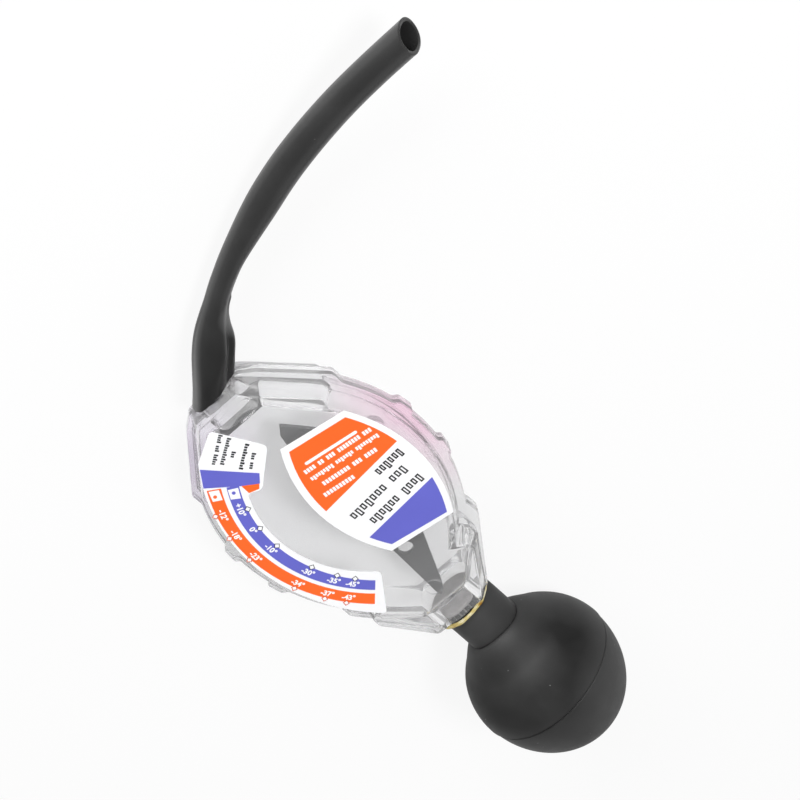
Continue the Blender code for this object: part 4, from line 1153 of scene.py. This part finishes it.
# %% Make the marks and the numbers
INNER_MARKS = {"+10": (-113.1, -113.8), "0": (-102.1, -102.8), "-10": (-90.6, -91.2),
               "-30": (-71.9, -72.1), "-35": (-60.2, -60.8), "-45": (-52.4, -53.0)}
OUTER_MARKS = {"-12": (-114.6, -114.0), "-18": (-104.4, -104.3), "-23": (-93.2, -92.6),
               "-34": (-73.2, -73.1), "-37": (-61.6, -61.3), "-43": (-53.8, -53.4)}
INNER_TIPS = (INNER_MARKS, BLUE_EDGES[0], -0.0001)
OUTER_TIPS = (OUTER_MARKS, ORANGE_EDGES[1], 0.0003)
MARK_SIZE, INNER_CENTRE_SIZE, OUTER_CENTRE_SIZE = 0.0021, 0.0015, 0.0014
FIGURE_HEIGHT, FIGURE_SHARE_OF_SIZE, FIGURE_GROWTH = 0.0017, 0.72, 0.05
FIGURE_LAYER, FIGURE_OUTWARDS = 1.8, 0.0002


def figures(text, degrees, edges):
    """One number as a mesh, turned so that its foot faces outwards, in the middle of its band."""
    line = bpy.data.curves.new("figures", "FONT")
    line.body = text + "°"
    line.size = FIGURE_HEIGHT / FIGURE_SHARE_OF_SIZE
    line.offset = FIGURE_HEIGHT * FIGURE_GROWTH
    line.align_x, line.align_y = "CENTER", "CENTER"
    line.extrude = INK_STEP / 2
    line.resolution_u = 3
    written = bpy.data.objects.new("figures", line)
    bpy.context.scene.collection.objects.link(written)
    mesh = bpy.data.meshes.new_from_object(written.evaluated_get(bpy.context.evaluated_depsgraph_get()))
    bpy.data.objects.remove(written)
    a = math.radians(degrees)
    radius = (edge_radius(edges[0], degrees) + edge_radius(edges[1], degrees)) / 2 + FIGURE_OUTWARDS
    place = (*on_circle(PIVOT_XY, radius, degrees), LABEL_TOP + INK_STEP * FIGURE_LAYER)
    turn = Matrix(((-math.sin(a), -math.cos(a), 0.0), (math.cos(a), -math.sin(a), 0.0), (0.0, 0.0, 1.0)))
    mesh.transform(Matrix.Translation(SHIFT) @ Matrix(TURN.tolist()).to_4x4()
                   @ Matrix.Translation(place) @ turn.to_4x4())
    return mesh


def numbers(name, marks, edges, ink):
    """All numbers of a band, joined into one piece."""
    things = []
    for text, (_, degrees) in marks.items():
        thing = bpy.data.objects.new(name, figures(text, degrees, edges))
        bpy.context.scene.collection.objects.link(thing)
        things.append(thing)
    with bpy.context.temp_override(active_object=things[0], selected_editable_objects=things):
        bpy.ops.object.join()
    things[0].data.materials.clear()
    things[0].data.materials.append(ink)
    return dress(things[0], "housing", "label_print")


printed("inner_mark_edges", diamonds(*INNER_TIPS, MARK_SIZE), 1, ink_black)
printed("outer_mark_edges", diamonds(*OUTER_TIPS, MARK_SIZE), 1, mark_red)
mark_centres = diamonds(*INNER_TIPS, INNER_CENTRE_SIZE) + diamonds(*OUTER_TIPS, OUTER_CENTRE_SIZE)
printed("mark_centres", mark_centres, 2, ink_white)
numbers("inner_numbers", INNER_MARKS, BLUE_EDGES, ink_white)
numbers("outer_numbers", OUTER_MARKS, ORANGE_EDGES, ink_white)

# %% Make the note
NOTE_HEIGHT = 0.0012
NOTE_ROWS = (((-0.0445, -0.0042), (-0.0387, -0.0129), (4, 3, 5)),
             ((-0.0421, -0.0033), (-0.0371, -0.0114), (12,)),
             ((-0.0381, -0.0055), (-0.0366, -0.0077), (3,)),
             ((-0.0372, -0.0012), (-0.0322, -0.0090), (10,)),
             ((-0.0338, -0.0020), (-0.0302, -0.0068), (3, 3)))
note_blocks = [block for row in NOTE_ROWS for block in letter_blocks(*row, NOTE_HEIGHT)]
printed("note_blocks", note_blocks, 0, ink_black)

# %% [markdown]
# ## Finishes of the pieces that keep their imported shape
# The vane, its pin and weight, the films and the adhesive round the hose have their right shape in the
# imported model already, so they only get their finishes.

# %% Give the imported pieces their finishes
PACKED_FINISHES = {"indicator_vane": vane_grey, "pivot_pin": steel, "balance_weight": steel,
                   "centre_label": label_white, "scale_label": label_white, "hose_bead": clear_adhesive}
for node_name, material in PACKED_FINISHES.items():
    node_mesh = nodes[node_name].data
    node_mesh.materials.clear()
    node_mesh.materials.append(material)
print("finished", len(PACKED_FINISHES), "packed pieces")

# %% [markdown]
# ## Floor and light
# The photograph has a plain white ground and light from all sides. A white sky does most of the work. Two
# broad lamps, one at each side, give the rubber its soft sheen, and a small one above adds the faint
# shadow under the tester. No lamp is seen through the plastic, where it would show as a white spot. The
# floor glows as well, so that it is white to the camera and behind the clear plastic.

# %% Lay the floor
FLOOR_HALF, FLOOR_DROP = 3.0, 0.0002
GROUND_GLOW = {"Is Transmission Ray": 0.55, "Is Glossy Ray": 0.36, "Is Camera Ray": 0.88}


def white_ground():
    """Matt white that also glows, most for the camera, less through the plastic and least in gloss."""
    material = bpy.data.materials.new("white_ground")
    material.use_nodes = True
    tree = material.node_tree
    tree.nodes.clear()
    path = add(tree, "ShaderNodeLightPath")
    share = 0.0
    for ray, glow_share in GROUND_GLOW.items():
        share = maths(tree, "MAXIMUM", share, maths(tree, "MULTIPLY", path.outputs[ray], glow_share))
    matt = add(tree, "ShaderNodeBsdfDiffuse", Color=(0.80, 0.80, 0.80, 1.0))
    glow = add(tree, "ShaderNodeEmission", Color=(1.0, 1.0, 1.0, 1.0), Strength=1.0)
    mixed = add(tree, "ShaderNodeMixShader", _0=share, _1=matt.outputs[0], _2=glow.outputs[0])
    output = add(tree, "ShaderNodeOutputMaterial")
    tree.links.new(mixed.outputs[0], output.inputs["Surface"])
    return material


floor_corners = np.array([(-1, -1, 0), (1, -1, 0), (1, 1, 0), (-1, 1, 0)]) * FLOOR_HALF
floor_corners[:, 2] -= FLOOR_DROP
floor = make_object("floor", floor_corners, [[0, 1, 2, 3]], white_ground())
print("floor lies", FLOOR_DROP * 1000, "mm under the tester")


# %% Light the scene
SKY_SHADES = [(0.0, (0.85, 0.85, 0.85)), (0.35, (0.82, 0.82, 0.82)), (0.80, (0.55, 0.55, 0.55))]
SKY_STRENGTH = 0.46


def studio_sky():
    """A white sky that darkens towards its top, as a studio does above its white walls."""
    world = bpy.data.worlds.new("studio")
    world.use_nodes = True
    tree = world.node_tree
    background = tree.nodes["Background"]
    direction = add(tree, "ShaderNodeTexCoord").outputs["Generated"]
    height = add(tree, "ShaderNodeSeparateXYZ", Vector=direction).outputs["Z"]
    tree.links.new(ramp(tree, height, SKY_SHADES), background.inputs["Color"])
    background.inputs["Strength"].default_value = SKY_STRENGTH
    bpy.context.scene.world = world


def soft_lamp(name, place, target, size, watts, mirrored_in_gloss=True):
    """A square lamp that faces a point; it isn't seen through plastic, and may be left out of gloss."""
    lamp = bpy.data.lights.new(name, "AREA")
    lamp.size = size
    lamp.energy = watts
    thing = bpy.data.objects.new(name, lamp)
    thing.location = place
    thing.rotation_euler = (Vector(target) - Vector(place)).to_track_quat("-Z", "Y").to_euler()
    thing.visible_glossy = mirrored_in_gloss
    thing.visible_transmission = False
    bpy.context.scene.collection.objects.link(thing)
    print("lamp", name, "gives", watts, "watts")


studio_sky()
soft_lamp("key_lamp", (-0.17, 0.47, 0.90), (0.0, 0.0, 0.0), 0.25, 6.0, False)
soft_lamp("side_lamp", (-0.95, 0.20, 0.28), (-0.05, 0.05, 0.0), 0.80, 13.0)
soft_lamp("far_lamp", (1.20, -0.35, 0.35), (0.05, 0.0, 0.0), 2.00, 5.5)

# %% Show the colours as they are written
bpy.context.scene.view_settings.view_transform = "Standard"
